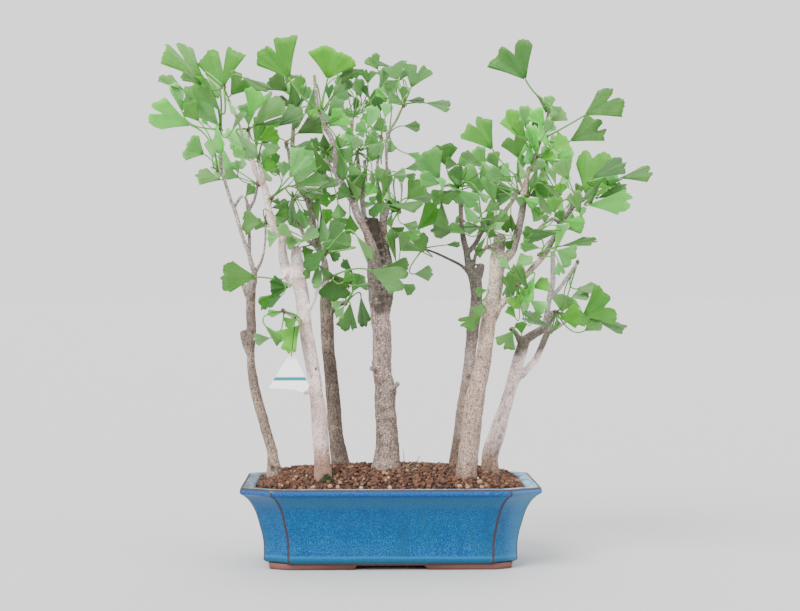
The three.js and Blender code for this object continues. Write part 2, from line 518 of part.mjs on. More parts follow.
// The block that fills the pot: a faceted mound on top, cut to the pot's inside.
function buildSoil(wood) {
  const [columns, rows] = SOIL_CELLS;
  const [spanX, spanY] = [POT_LENGTH - 2 * SOIL_MARGIN, POT_DEPTH - 2 * SOIL_MARGIN];
  const draw = draws(71);
  const points = [];
  const faces = [];
  for (let j = 0; j <= rows; j += 1) {
    for (let i = 0; i <= columns; i += 1) {
      const x = (i / columns - 0.5) * spanX + (2 * draw() - 1) * SOIL_JITTER;
      const y = (j / rows - 0.5) * spanY + (2 * draw() - 1) * SOIL_JITTER;
      points.push(new THREE.Vector3(x, y, mound(x, y) + (2 * draw() - 1) * GRAIN_RELIEF));
    }
  }
  const at = (i, j) => j * (columns + 1) + i;
  for (let j = 0; j < rows; j += 1) {
    for (let i = 0; i < columns; i += 1) {
      faces.push([at(i, j), at(i + 1, j), at(i + 1, j + 1)], [at(i, j), at(i + 1, j + 1), at(i, j + 1)]);
    }
  }
  // The border, once round anticlockwise, runs down to one point far under the pot.
  const border = [];
  for (let i = 0; i < columns; i += 1) border.push(at(i, 0));
  for (let j = 0; j < rows; j += 1) border.push(at(columns, j));
  for (let i = columns; i > 0; i -= 1) border.push(at(i, rows));
  for (let j = rows; j > 0; j -= 1) border.push(at(0, j));
  const keel = points.length;
  points.push(new THREE.Vector3(0, 0, -2 * POT_LENGTH));
  border.forEach((corner, k) => faces.push([border[(k + 1) % border.length], corner, keel]));
  const [, mouth, ...below] = INNER_WALL;
  const inside = [
    ...below.reverse().map(([z, inset]) => plan(inset + GAP, Math.max(z, POT_FLOOR + GAP))),
    plan(mouth[1] + GAP, mouth[0]),
    plan(mouth[1] + GAP, RIM_TOP + 2 * SOIL_RISE),
  ];
  let soil = solid(points, faces).intersect(loft(inside));
  for (const [u, v, y, radius] of STONES) {
    const spot = place(u, v, y);
    const stone = new THREE.OctahedronGeometry(radius).rotateZ(u);
    soil = soil.add(solidOf(stone.translate(spot.x, y, mound(spot.x, y) + STONE_LIFT)));
  }
  for (const x of DRAIN_PLACES) {
    const block = new THREE.BoxGeometry(SCREEN_SIZE + 2 * GAP, SCREEN_SIZE + 2 * GAP, 2 * SCREEN_THICK + 2 * GAP);
    soil = soil.subtract(solidOf(block.translate(x, 0, POT_FLOOR + GAP)));
  }
  wood.forEach((stems) => {
    soil = soil.subtract(tube(stems[0], sidesFor(stems[0]), GAP));
  });
  return mainBody(soil);
}

// ---------------------------------------------------------------- trees

// One stem as a list of { at, radius }: its depth runs evenly along its length.
function stemPath([depthStart, depthEnd, ...numbers], rooted) {
  const marks = [];
  for (let i = 0; i < numbers.length; i += 3) {
    marks.push({ u: numbers[i], v: numbers[i + 1], width: numbers[i + 2] });
  }
  const run = [0];
  marks.slice(1).forEach((mark, i) => run.push(run[i] + Math.hypot(mark.u - marks[i].u, mark.v - marks[i].v)));
  const path = marks.map(({ u, v, width }, i) => {
    const depth = depthStart + ((depthEnd - depthStart) * run[i]) / run[run.length - 1];
    return { at: place(u, v, depth), radius: (width / 2) * stepAt(depth) };
  });
  if (rooted) {
    const { at, radius } = path[0];
    path.unshift({ at: new THREE.Vector3(at.x, at.y, at.z - ROOT_DEPTH), radius: radius * ROOT_FLARE });
  }
  return path;
}

const stemsOf = (tree) => TREES[tree].map((stem, i) => stemPath(stem, i === 0));

// Trunks are seven-sided, branches five-sided and twigs three-sided.
function sidesFor(path) {
  const thickest = Math.max(...path.map((mark) => mark.radius));
  if (thickest > 5.4) return 7;
  return thickest > 2.4 ? 5 : 3;
}

const buildTree = (stems, grow = 0) =>
  stems.map((path) => tube(path, sidesFor(path), grow)).reduce((all, stem) => all.add(stem));

// ---------------------------------------------------------------- leaves

// Where a leaf lies, from how it looks on the elevation. A leaf seen narrower or shorter
// than a fan laid flat is turned about its middle line or tipped towards or from the eye.
function leafFrame(look, depth, signs) {
  const [baseU, baseV, tipU, tipV, width, notch] = look;
  const step = stepAt(depth);
  const base = place(baseU, baseV, depth);
  const run = Math.hypot(tipU - baseU, tipV - baseV);
  const seenLength = run * step;
  const seenWidth = width * step;
  let [length, fullWidth, pitch, roll] = [seenLength, FAN_RATIO * seenLength, 0, 0];
  if (seenWidth > fullWidth) {
    length = Math.min(seenWidth / FAN_RATIO, seenLength * 2);
    fullWidth = seenWidth;
    pitch = signs[0] * Math.acos(seenLength / length);
  } else {
    const turn = Math.min(Math.acos(seenWidth / fullWidth), MOST_TURN);
    fullWidth = seenWidth / Math.cos(turn);
    roll = signs[1] * turn;
  }
  const flat = new THREE.Vector3((tipU - baseU) / run, 0, (baseV - tipV) / run);
  const away = new THREE.Vector3(0, 1, 0);
  const along = flat.clone().multiplyScalar(Math.cos(pitch)).addScaledVector(away, Math.sin(pitch));
  const side = flat.clone().cross(away);
  const across = side
    .clone()
    .multiplyScalar(Math.cos(roll))
    .addScaledVector(along.clone().cross(side), Math.sin(roll));
  return { base, along, across, normal: along.clone().cross(across), length, halfWidth: fullWidth / 2, notch };
}

// The form of one blade. side runs from -1 to 1 across it and out from 0 to 1 along a vein.
function bladePoint(leaf, side, out) {
  const { shape } = leaf;
  const slit = leaf.notch * Math.exp(-(((side - shape.slitSide) / SLIT_WIDTH) ** 2));
  const wave = 1 + shape.wave * Math.sin(shape.waves * side + shape.phase);
  const edge = leaf.length * (0.97 + 0.07 * side * side) * wave * (1 - slit);
  const turn = FAN_ANGLE * side;
  const forward = edge * out * Math.cos(turn);
  const sideways = ((edge * out * Math.sin(turn)) / (leaf.length * 1.04 * Math.sin(FAN_ANGLE))) * leaf.halfWidth;
  const ripple = 0.035 * Math.sin(shape.ripples * side + shape.phase);
  const lift = leaf.length * (shape.cup * side * side + shape.bend + ripple) * out;
  return leaf.base
    .clone()
    .addScaledVector(leaf.along, forward)
    .addScaledVector(leaf.across, sideways)
    .addScaledVector(leaf.normal, lift);
}

// What is drawn by lot for each leaf.
function leafShape(draw) {
  return {
    slitSide: (draw() - 0.5) * 0.36,
    wave: 0.02 + 0.03 * draw(),
    waves: 6 + 5 * draw(),
    ripples: 4 + 4 * draw(),
    phase: 6.28 * draw(),
    cup: -0.16 + 0.34 * draw(),
    bend: -0.12 + 0.2 * draw(),
  };
}

// A point on the stalk, from the spur (0) to the blade (1). It meets the blade in line.
function stalkPoint(leaf, t) {
  const reach = leaf.base.distanceTo(leaf.spur);
  const elbow = leaf.base.clone().addScaledVector(leaf.along, -0.45 * reach);
  return leaf.spur
    .clone()
    .multiplyScalar((1 - t) ** 2)
    .addScaledVector(elbow, 2 * t * (1 - t))
    .addScaledVector(leaf.base, t * t);
}

// Points that stand for a leaf when its distance to others is measured.
function leafProbes(leaf) {
  const probes = [];
  for (const out of [0.1, 0.4, 0.7, 1]) {
    for (const side of [-1, -0.67, -0.33, 0, 0.33, 0.67, 1]) {
      probes.push(bladePoint(leaf, side, out));
    }
  }
  for (const t of [0.45, 0.7]) {
    probes.push(stalkPoint(leaf, t));
  }
  return probes;
}

// The room a leaf has: the least distance left over between it and what is around it.
function clearance(leaf, probes, tuft, taken, bark) {
  let least = 99;
  if (leaf.base.distanceTo(leaf.spur) > SHORT_STALK) {
    for (const t of [0.2, 0.32]) {
      const neck = stalkPoint(leaf, t);
      for (const { at, radius } of bark) {
        least = Math.min(least, neck.distanceTo(at) - radius - CLEAR_NECK);
      }
    }
  }
  for (const probe of probes) {
    for (const other of taken) {
      const margin = other.tuft === tuft ? CLEAR_FAMILY : 0;
      least = Math.min(least, probe.distanceTo(other.at) + margin - CLEAR_BLADE);
    }
    for (const { at, radius } of bark) {
      least = Math.min(least, probe.distanceTo(at) - radius - CLEAR_WOOD);
    }
  }
  return least;
}

// Points down the middle of every stem, each with the stem's radius there.
function barkProbes(stems) {
  const probes = [];
  stems.forEach((path) =>
    path.slice(1).forEach((end, i) => {
      const start = path[i];
      const parts = Math.ceil(start.at.distanceTo(end.at) / BARK_STEP);
      for (let k = 0; k < parts; k += 1) {
        const t = (k + 0.5) / parts;
        probes.push({ at: start.at.clone().lerp(end.at, t), radius: start.radius + (end.radius - start.radius) * t });
      }
    }),
  );
  return probes;
}

// Tries a leaf at its own depth, then a little behind, a little in front, and so on, and
// each way it may be turned, and keeps the first that is clear or else the clearest.
function settleLeaf(look, spur, depth, shape, tuft, taken, bark, firstSigns) {
  let best = null;
  for (let k = 0; k < SLIDES; k += 1) {
    const slide = (k % 2 ? 1 : -1) * Math.ceil(k / 2) * SLIDE;
    for (const flip of [1, -1]) {
      const signs = [firstSigns[0] * flip, firstSigns[1] * flip];
      const leaf = { ...leafFrame(look, depth + slide, signs), spur, shape };
      const probes = leafProbes(leaf);
      const room = clearance(leaf, probes, tuft, taken, bark);
      if (!best || room > best.room) best = { leaf, probes, room };
      if (room >= 0) return best;
    }
  }
  return best;
}

// The bud sits just past its twig's end, in line with the twig. On the flank of a longer
// stem it stands off the bark instead, on the side that its leaves grow to.
function budPlace(u, v, depth, looks, ends, bark) {
  const spur = place(u, v, depth);
  const nearestOf = (list) =>
    list.reduce((best, item) => (item.at.distanceTo(spur) < best.at.distanceTo(spur) ? item : best));
  const end = nearestOf(ends);
  if (end.at.distanceTo(spur) < BUD_REACH) return end.at.clone().addScaledVector(end.along, BUD_OFFSET);
  const meanU = looks.reduce((sum, look) => sum + look[0], 0) / looks.length - u;
  const meanV = looks.reduce((sum, look) => sum + look[1], 0) / looks.length - v;
  const away = new THREE.Vector3(meanU, 0, -meanV).normalize();
  return spur.addScaledVector(away, nearestOf(bark).radius + BUD_STAND);
}

// The cut or growing end of every stem, with the way it points.
function stemEnds(paths) {
  return paths.map((path) => {
    const [before, last] = path.slice(-2);
    return { at: last.at, along: last.at.clone().sub(before.at).normalize() };
  });
}

const looksOf = (numbers) =>
  Array.from({ length: numbers.length / LOOK_NUMBERS }, (_, i) => numbers.slice(i * LOOK_NUMBERS, (i + 1) * LOOK_NUMBERS));

// Settles every leaf of every tuft, and then the inner ones in the room that is left.
function settleTufts(ends, bark) {
  const taken = [];
  const draw = draws(2024);
  const tufts = Object.entries(TUFTS).map(([name, [u, v, depth, numbers]]) => {
    const looks = looksOf(numbers);
    return { name, u, v, depth, looks, spur: budPlace(u, v, depth, looks, ends, bark), leaves: [] };
  });
  const settle = (tuft, look, depth) => {
    const shape = leafShape(draw);
    const signs = [draw() < 0.5 ? -1 : 1, draw() < 0.5 ? -1 : 1];
    const { leaf, probes, room } = settleLeaf(look, tuft.spur, depth, shape, tuft.name, taken, bark, signs);
    tuft.leaves.push({ ...leaf, room, look });
    probes.forEach((at) => taken.push({ at, tuft: tuft.name }));
  };
  tufts.forEach((tuft) => {
    tuft.looks.forEach((look) => settle(tuft, look, tuft.depth + (2 * draw() - 1) * DEPTH_SPREAD));
  });
  Object.entries(INNER_LEAVES).forEach(([name, [setback, numbers]]) => {
    const tuft = tufts.find((candidate) => candidate.name === name);
    looksOf(numbers).forEach((look) => settle(tuft, look, tuft.depth + setback));
  });
  return tufts;
}

// One leaf as a closed solid: a three-sided stalk that opens into a thin fan.
function leafSolid(leaf) {
  const rays = leaf.halfWidth > 18 ? 9 : leaf.halfWidth > 13 ? 7 : 5;
  const middle = (rays - 1) / 2;
  const { normal, across } = leaf;
  const points = [];
  const faces = [];
  const stalkSteps = leaf.base.distanceTo(leaf.spur) > 32 ? 3 : 2;
  const start = STALK_START / leaf.base.distanceTo(leaf.spur);
  const stations = Array.from({ length: stalkSteps + 1 }, (_, k) =>
    stalkPoint(leaf, start + (1 - start) * (k / stalkSteps)),
  );
  const rings = [];
  let sideways = across.clone();
  for (let k = stalkSteps; k >= 0; k -= 1) {
    const along = stations[Math.min(k + 1, stalkSteps)].clone().sub(stations[Math.max(k - 1, 0)]).normalize();
    sideways = sideways.clone().addScaledVector(along, -sideways.dot(along)).normalize();
    const up = along.clone().cross(sideways);
    const centre = stations[k];
    rings.unshift([
      centre.clone().addScaledVector(sideways, -STALK).addScaledVector(up, STALK * 0.6),
      centre.clone().addScaledVector(sideways, STALK).addScaledVector(up, STALK * 0.6),
      centre.clone().addScaledVector(up, -STALK),
    ]);
  }
  rings.forEach((ring) => points.push(...ring));
  faces.push([0, 1, 2]);
  for (let k = 0; k < stalkSteps; k += 1) {
    for (let i = 0; i < 3; i += 1) {
      const [a, b] = [3 * k + i, 3 * k + ((i + 1) % 3)];
      faces.push([a, a + 3, b + 3], [a, b + 3, b]);
    }
  }
  const [left, right, keel] = [3 * stalkSteps, 3 * stalkSteps + 1, 3 * stalkSteps + 2];
  const top = points.length;
  for (let i = 0; i < rays; i += 1) {
    points.push(bladePoint(leaf, i / middle - 1, 1).addScaledVector(normal, BLADE / 2));
  }
  const bottom = points.length;
  for (let i = 0; i < rays; i += 1) {
    points.push(points[top + i].clone().addScaledVector(normal, -BLADE));
  }
  for (let i = 0; i < rays - 1; i += 1) {
    faces.push([i < middle ? left : right, top + i, top + i + 1]);
    faces.push([keel, bottom + i + 1, bottom + i]);
    faces.push([top + i, bottom + i, bottom + i + 1], [top + i, bottom + i + 1, top + i + 1]);
  }
  const [first, last] = [0, rays - 1];
  faces.push([left, top + middle, right]);
  faces.push([left, keel, bottom + first], [left, bottom + first, top + first]);
  faces.push([right, bottom + last, keel], [right, top + last, bottom + last]);
  return solid(points, faces);
}

function buildTuft(tuft, wideWood) {
  const knob = new THREE.OctahedronGeometry(KNOB).translate(tuft.spur.x, tuft.spur.y, tuft.spur.z);
  const grown = tuft.leaves.filter((leaf) => leaf.look[4] >= YOUNG_WIDTH);
  const joined = grown.map((leaf) => leafSolid(leaf)).reduce((all, leaf) => all.add(leaf), solidOf(knob));
  return mainBody(joined.subtract(wideWood));
}

// ---------------------------------------------------------------- tag and thread

function buildTag() {
  const step = stepAt(TAG_PLANE);
  const at = (u, v) => {
    const spot = place(u, v, TAG_PLANE);
    return new THREE.Vector2(spot.x, spot.z);
  };
  const corners = [];
  for (let i = 0; i < TAG_OUTLINE.length; i += 2) corners.push(at(TAG_OUTLINE[i], TAG_OUTLINE[i + 1]));
  const paper = new THREE.Shape(corners);
  const eye = at(TAG_EYE[0], TAG_EYE[1]);
  paper.holes.push(new THREE.Path().absarc(eye.x, eye.y, TAG_EYE[2] * step, 0, 2 * Math.PI));
  const sheet = new THREE.ExtrudeGeometry(paper, { depth: TAG_THICK, bevelEnabled: false, curveSegments: 10 });
  return solidOf(sheet.rotateX(Math.PI / 2).translate(0, TAG_PLANE + TAG_THICK / 2, 0));
}

function buildThread() {
  const path = THREAD.map(([u, v, y]) => ({ at: place(u, v, y), radius: THREAD_RADIUS }));
  return tube(path, 8);
}

// ---------------------------------------------------------------- the whole plant

const paint = (colour, roughness) => new THREE.MeshStandardMaterial({ color: colour, roughness, metalness: 0 });

const plant = new THREE.Group();
const names = Object.keys(TREES);
const stems = names.map(stemsOf);
const bark = stems.flatMap(barkProbes);
const tufts = settleTufts(stemEnds(stems.flat()), bark);

plant.add(meshOf(buildPot(), "pot", paint(0x2f7f96, 0.3)));
plant.add(meshOf(buildSoil(stems), "soil", paint(0x6b4a36, 0.95)));
DRAIN_PLACES.forEach((x, i) => plant.add(meshOf(buildScreen(x), "drain_screen_" + (i + 1), paint(0x20221f, 0.7))));
names.forEach((name, i) => plant.add(meshOf(buildTree(stems[i]), name, paint(WOOD_COLOURS[name], 0.85))));
const wideWood = stems.map((tree) => buildTree(tree, GAP)).reduce((all, tree) => all.add(tree));
tufts.forEach((tuft, i) => {
  plant.add(meshOf(buildTuft(tuft, wideWood), tuft.name, paint(LEAF_COLOURS[i % LEAF_COLOURS.length], 0.55)));
});
plant.add(meshOf(buildTag(), "tag", paint(0xf2f2ee, 0.6)));
plant.add(meshOf(buildThread(), "tag_string", paint(0x1c1c1e, 0.8)));

// The origin goes to the middle of the plant's box, on the surface it stands on.
const thread = plant.getObjectByName("tag_string");
const body = new THREE.Box3();
plant.children.filter((mesh) => mesh !== thread && mesh.name !== "tag").forEach((mesh) => body.expandByObject(mesh));
const middle = body.getCenter(new THREE.Vector3());
plant.position.set(-middle.x, -middle.y, -body.min.z);

export default plant;
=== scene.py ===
"""A forest of seven ginkgo trees in a blue glazed pot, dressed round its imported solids.

Metres, +Z up, with the viewer on the -Y side. Stems and leaves are laid out in
millimetres from the pot's middle, on the same front elevation as the solids.
"""

from __future__ import annotations

import logging
import math
from collections import defaultdict
from collections.abc import Iterator
from dataclasses import dataclass, field, replace
from enum import Enum
from itertools import islice, product

import bpy
import numpy as np
from bpy.types import ID, Material, Mesh, NodeSocket, Object
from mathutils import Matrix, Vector
from numpy.linalg import norm


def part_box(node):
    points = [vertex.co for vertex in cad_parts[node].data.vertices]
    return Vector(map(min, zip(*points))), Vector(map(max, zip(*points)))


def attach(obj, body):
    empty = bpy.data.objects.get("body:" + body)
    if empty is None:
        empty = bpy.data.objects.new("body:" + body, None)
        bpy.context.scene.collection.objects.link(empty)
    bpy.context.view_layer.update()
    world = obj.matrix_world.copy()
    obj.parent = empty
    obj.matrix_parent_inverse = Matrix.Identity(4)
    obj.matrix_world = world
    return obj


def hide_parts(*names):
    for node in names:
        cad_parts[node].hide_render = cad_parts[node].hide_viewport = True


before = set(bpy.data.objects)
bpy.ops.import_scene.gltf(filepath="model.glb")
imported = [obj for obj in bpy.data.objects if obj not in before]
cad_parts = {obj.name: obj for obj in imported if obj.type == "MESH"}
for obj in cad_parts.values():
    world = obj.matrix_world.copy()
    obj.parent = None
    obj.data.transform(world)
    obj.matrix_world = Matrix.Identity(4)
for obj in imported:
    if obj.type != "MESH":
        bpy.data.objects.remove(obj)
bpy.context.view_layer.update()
LOG = logging.getLogger("ginkgo")

Array = np.ndarray
Pair = tuple[float, float]
Point = tuple[float, float, float]
Colour = Point
Rows = list[list[float]]
Random = np.random.Generator
RIGHT, BACK, UP = np.eye(3)


# ---- where things are


@dataclass(frozen=True)
class Elevation:
    """The front elevation that stems and leaves are drawn on, as one eye sees it."""

    eye: Point = (-35.7, -1900, 286)
    level_u: float = 355.0
    level_v: float = 283.0
    focus: float = 1845.0

    def step(self, depth: Array | float) -> Array | float:
        """Millimetres that one step of the elevation covers at a depth."""
        return (depth - self.eye[1]) / self.focus

    def place(self, u: Array | float, v: Array | float, depth: Array | float) -> Array:
        """Puts elevation points in space.

        x = eye_x + (u - level_u) * step, z = eye_z - (v - level_v) * step, y = depth.

        Args:
            u: Steps to the right.
            v: Steps down.
            depth: Distance behind the pot's middle, in millimetres.

        Returns:
            Points in millimetres, one row each.
        """
        step = self.step(depth)
        x = self.eye[0] + (u - self.level_u) * step
        z = self.eye[2] - (v - self.level_v) * step
        return np.stack(np.broadcast_arrays(x, np.asarray(depth, float), z), axis=-1)


ELEVATION = Elevation()
POT_CORNERS = np.array([list(corner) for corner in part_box("pot")])
# From the pot's middle to the middle of the whole plant's box, in millimetres.
SHIFT = np.array([*(POT_CORNERS.mean(axis=0)[:2] * 1000), 0.0])


def metres(points: Array) -> Array:
    """Millimetres from the pot's middle, as metres in the shared frame."""
    return (points + SHIFT) / 1000


# ---- surfaces


class Grit:
    """Seeded smooth noise in space, between -1 and 1."""

    cells = 32

    def __init__(self, seed: int) -> None:
        """Draws the lattice of numbers that the noise runs through."""
        self.lattice = np.random.default_rng(seed).uniform(-1, 1, (self.cells,) * 3)

    def at(self, points: Array, size: float | Point) -> Array:
        """Blends the eight lattice numbers round each point by f * f * (3 - 2f).

        Args:
            points: Points in millimetres.
            size: Lattice spacing in millimetres, one number or one for each axis.

        Returns:
            One value for each point.
        """
        scaled = points / np.asarray(size)
        low = np.floor(scaled).astype(int)
        part = scaled - low
        part = part * part * (3 - 2 * part)
        total = np.zeros(points.shape[:-1])
        for corner in product((0, 1), repeat=3):
            weight = np.where(np.array(corner) == 1, part, 1 - part).prod(axis=-1)
            i, j, k = np.moveaxis((low + corner) % self.cells, -1, 0)
            total += weight * self.lattice[i, j, k]
        return total


def unit(vectors: Array) -> Array:
    """Vectors of length one along the given ones."""
    return vectors / np.maximum(norm(vectors, axis=-1, keepdims=True), 1e-9)


def turns(count: int) -> Array:
    """Angles spread evenly over one turn."""
    return np.linspace(0, 2 * math.pi, count, endpoint=False)


def bend(start: Array, elbow: Array, end: Array, t: Array) -> Array:
    """A quadratic Bezier: (1 - t)^2 start + 2t (1 - t) elbow + t^2 end."""
    return (1 - t) ** 2 * start + 2 * t * (1 - t) * elbow + t**2 * end


@dataclass
class Shell:
    """A closed surface in millimetres: points, faces, and values carried by its points."""

    points: Array
    quads: Array = field(default_factory=lambda: np.empty((0, 4), int))
    tris: Array = field(default_factory=lambda: np.empty((0, 3), int))
    values: dict[str, Array] = field(default_factory=dict)

    def carrying(self, **values: Array | float | Colour) -> Shell:
        """Gives every point its values, each named one for all or one for each point."""
        for name, value in values.items():
            value = np.asarray(value, float)
            if value.shape in ((), (3,)):
                value = np.broadcast_to(value, (len(self.points), *value.shape))
            self.values[name] = value
        return self

    @staticmethod
    def joined(shells: list[Shell]) -> Shell:
        """One surface made of several, which keep their own points."""
        starts = np.cumsum([0] + [len(shell.points) for shell in shells[:-1]])
        return Shell(
            np.concatenate([shell.points for shell in shells]),
            np.concatenate([shell.quads + start for shell, start in zip(shells, starts)]),
            np.concatenate([shell.tris + start for shell, start in zip(shells, starts)]),
            {key: np.concatenate([shell.values[key] for shell in shells]) for key in shells[0].values},
        )


def grid_faces(rows: int, columns: int, wrapped: bool) -> Array:
    """Four-sided faces between neighbouring points of a grid, row after row.

    Args:
        rows: Number of rows of points.
        columns: Number of points in a row.
        wrapped: True if a row's last point joins its first.

    Returns:
        One row of four point numbers for each face.
    """
    row, column = np.meshgrid(np.arange(rows - 1), np.arange(columns - (not wrapped)), indexing="ij")
    here = row * columns + column
    beside = row * columns + (column + 1) % columns
    return np.stack([here, beside, beside + columns, here + columns], axis=-1).reshape(-1, 4)


def barrel(rings: Array, first: Array, last: Array) -> Shell:
    """Rings of points closed by a pole at each end.

    The rings run anticlockwise about the way from first to last, so faces point outwards.

    Args:
        rings: Points, ring by ring.
        first: Pole before the first ring.
        last: Pole after the last ring.

    Returns:
        The closed surface.
    """
    count, sides = rings.shape[:2]
    points = np.r_[rings.reshape(-1, 3), [first, last]]
    around = np.arange(sides)
    following = (around + 1) % sides
    start, end = count * sides, count * sides + 1
    top = (count - 1) * sides
    near = np.stack([np.full(sides, start), following, around], axis=-1)
    far = np.stack([np.full(sides, end), top + around, top + following], axis=-1)
    return Shell(points, grid_faces(count, sides, True), np.r_[near, far])


def tube(path: Array, radii: Array, sides: int, reference: Array) -> Shell:
    """A round tube along a path, with softly rounded ends.

    Each ring is path + radius * (cos(turn) * across + sin(turn) * up), where across is
    the reference made square to the path and up completes the right hand.

    Args:
        path: Points down its middle.
        radii: Radius at each point.
        sides: Points round a ring.
        reference: Direction that fixes where each ring starts.

    Returns:
        The closed surface.
    """
    along = unit(np.gradient(path, axis=0))
    across = unit(reference - along * (along @ reference)[:, None])
    up = np.cross(along, across)
    turn = turns(sides)
    round_ = np.cos(turn)[None, :, None] * across[:, None] + np.sin(turn)[None, :, None] * up[:, None]
    rings = path[:, None] + radii[:, None, None] * round_
    return barrel(rings, path[0] - along[0] * radii[0] * 0.25, path[-1] + along[-1] * radii[-1] * 0.25)


def smooth_line(marks: Array, parts: int) -> Array:
    """A Catmull-Rom curve through marks of any number of columns.

    Between marks p1 and p2 it is half of 2 p1 + (p2 - p0) t + (2 p0 - 5 p1 + 4 p2 - p3) t^2
    + (3 p1 - p0 - 3 p2 + p3) t^3.

    Args:
        marks: Rows to pass through.
        parts: Steps from one mark to the next.

    Returns:
        Rows along the curve, marks included.
    """
    padded = np.r_[2 * marks[:1] - marks[1:2], marks, 2 * marks[-1:] - marks[-2:-1]]
    p0, p1, p2, p3 = (padded[k : len(padded) - 3 + k, None] for k in range(4))
    t = np.linspace(0, 1, parts, endpoint=False)[None, :, None]
    cubic = 3 * p1 - p0 - 3 * p2 + p3
    line = (2 * p1 + (p2 - p0) * t + (2 * p0 - 5 * p1 + 4 * p2 - p3) * t**2 + cubic * t**3) / 2
    return np.r_[line.reshape(-1, marks.shape[1]), marks[-1:]]


def fill_mesh(name: str, shell: Shell, smooth: bool = True) -> Mesh:
    """Puts a surface into a mesh, in metres in the shared frame.

    Args:
        name: Name of the mesh.
        shell: The surface.
        smooth: True to shade it smooth.

    Returns:
        The mesh, with the shell's values as attributes and leaf_map as its UV map.
    """
    mesh = bpy.data.meshes.new(name)
    faces = shell.quads.tolist() + shell.tris.tolist()
    mesh.from_pydata(metres(shell.points), [], faces, shade_flat=not smooth)
    corners = np.r_[shell.quads.ravel(), shell.tris.ravel()]
    for key, value in shell.values.items():
        if key == "leaf_map":
            mesh.uv_layers.new(name=key).uv.foreach_set("vector", value[corners].ravel())
        elif value.ndim == 2:
            rgba = np.insert(value, 3, 1, axis=1)
            mesh.attributes.new(key, "FLOAT_COLOR", "POINT").data.foreach_set("color", rgba.ravel())
        else:
            mesh.attributes.new(key, "FLOAT", "POINT").data.foreach_set("value", value)
    mesh.validate()
    return mesh


def shown(name: str, data: ID) -> Object:
    """A new object in the scene."""
    thing = bpy.data.objects.new(name, data)
    bpy.context.scene.collection.objects.link(thing)
    return thing


def add_piece(mesh: Mesh, material: Material, nodes: tuple[str, ...] = ()) -> Object:
    """Shows a mesh as a piece of the plant.

    Args:
        mesh: Its mesh, already in place.
        material: Its finish.
        nodes: Solids that it stands for.

    Returns:
        The piece, which rides on the plant's one body.
    """
    piece = shown(mesh.name, mesh)
    mesh.materials.clear()
    mesh.materials.append(material)
    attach(piece, "root")
    if nodes:
        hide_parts(*nodes)
    LOG.info("%s: %d faces", piece.name, len(mesh.polygons))
    return piece


def worked(mesh: Mesh, tools: list[tuple[str, dict]]) -> Mesh:
    """Runs modifiers on a mesh and keeps their result.

    Args:
        mesh: The mesh to work on.
        tools: Modifier types with their settings, in order.

    Returns:
        A new mesh of the same name.
    """
    carrier = shown("carrier", mesh)
    for kind, settings in tools:
        modifier = carrier.modifiers.new(kind.lower(), kind)
        for key, value in settings.items():
            setattr(modifier, key, value)
    seen = carrier.evaluated_get(bpy.context.evaluated_depsgraph_get())
    result = bpy.data.meshes.new_from_object(seen)
    name = mesh.name
    bpy.data.objects.remove(carrier)
    bpy.data.meshes.remove(mesh)
    result.name = name
    return result


# ---- finishes


class Wire:
    """One output socket, with arithmetic that adds Math nodes."""

    def __init__(self, recipe: Recipe, socket: NodeSocket) -> None:
        """Keeps the socket and the recipe that its nodes belong to."""
        self.recipe = recipe
        self.socket = socket

    def math(self, operation: str, *values: Wire | float) -> Wire:
        """Adds a Math node that starts from this value."""
        inputs = dict(enumerate((self, *values)))
        return self.recipe.node("Math", {"operation": operation}, inputs)

    def __add__(self, other: Wire | float) -> Wire:
        """This plus other."""
        return self.math("ADD", other)

    def __sub__(self, other: Wire | float) -> Wire:
        """This minus other."""
        return self.math("SUBTRACT", other)

    def __rsub__(self, other: float) -> Wire:
        """Other minus this."""
        return self.recipe.node("Math", {"operation": "SUBTRACT"}, {0: other, 1: self})

    def __mul__(self, other: Wire | float) -> Wire:
        """This times other."""
        return self.math("MULTIPLY", other)

    __radd__ = __add__
    __rmul__ = __mul__

    def between(self, low: float, high: float) -> Wire:
        """Runs smoothly from 0 at low to 1 at high."""
        settings = {"interpolation_type": "SMOOTHSTEP"}
        return self.recipe.node("MapRange", settings, {"Value": self, 1: low, 2: high})

    def within(self, low: float, high: float, soft: float) -> Wire:
        """1 from low to high and 0 outside, with edges that run over soft either way."""
        return self.between(low - soft, low + soft) * (1 - self.between(high - soft, high + soft))


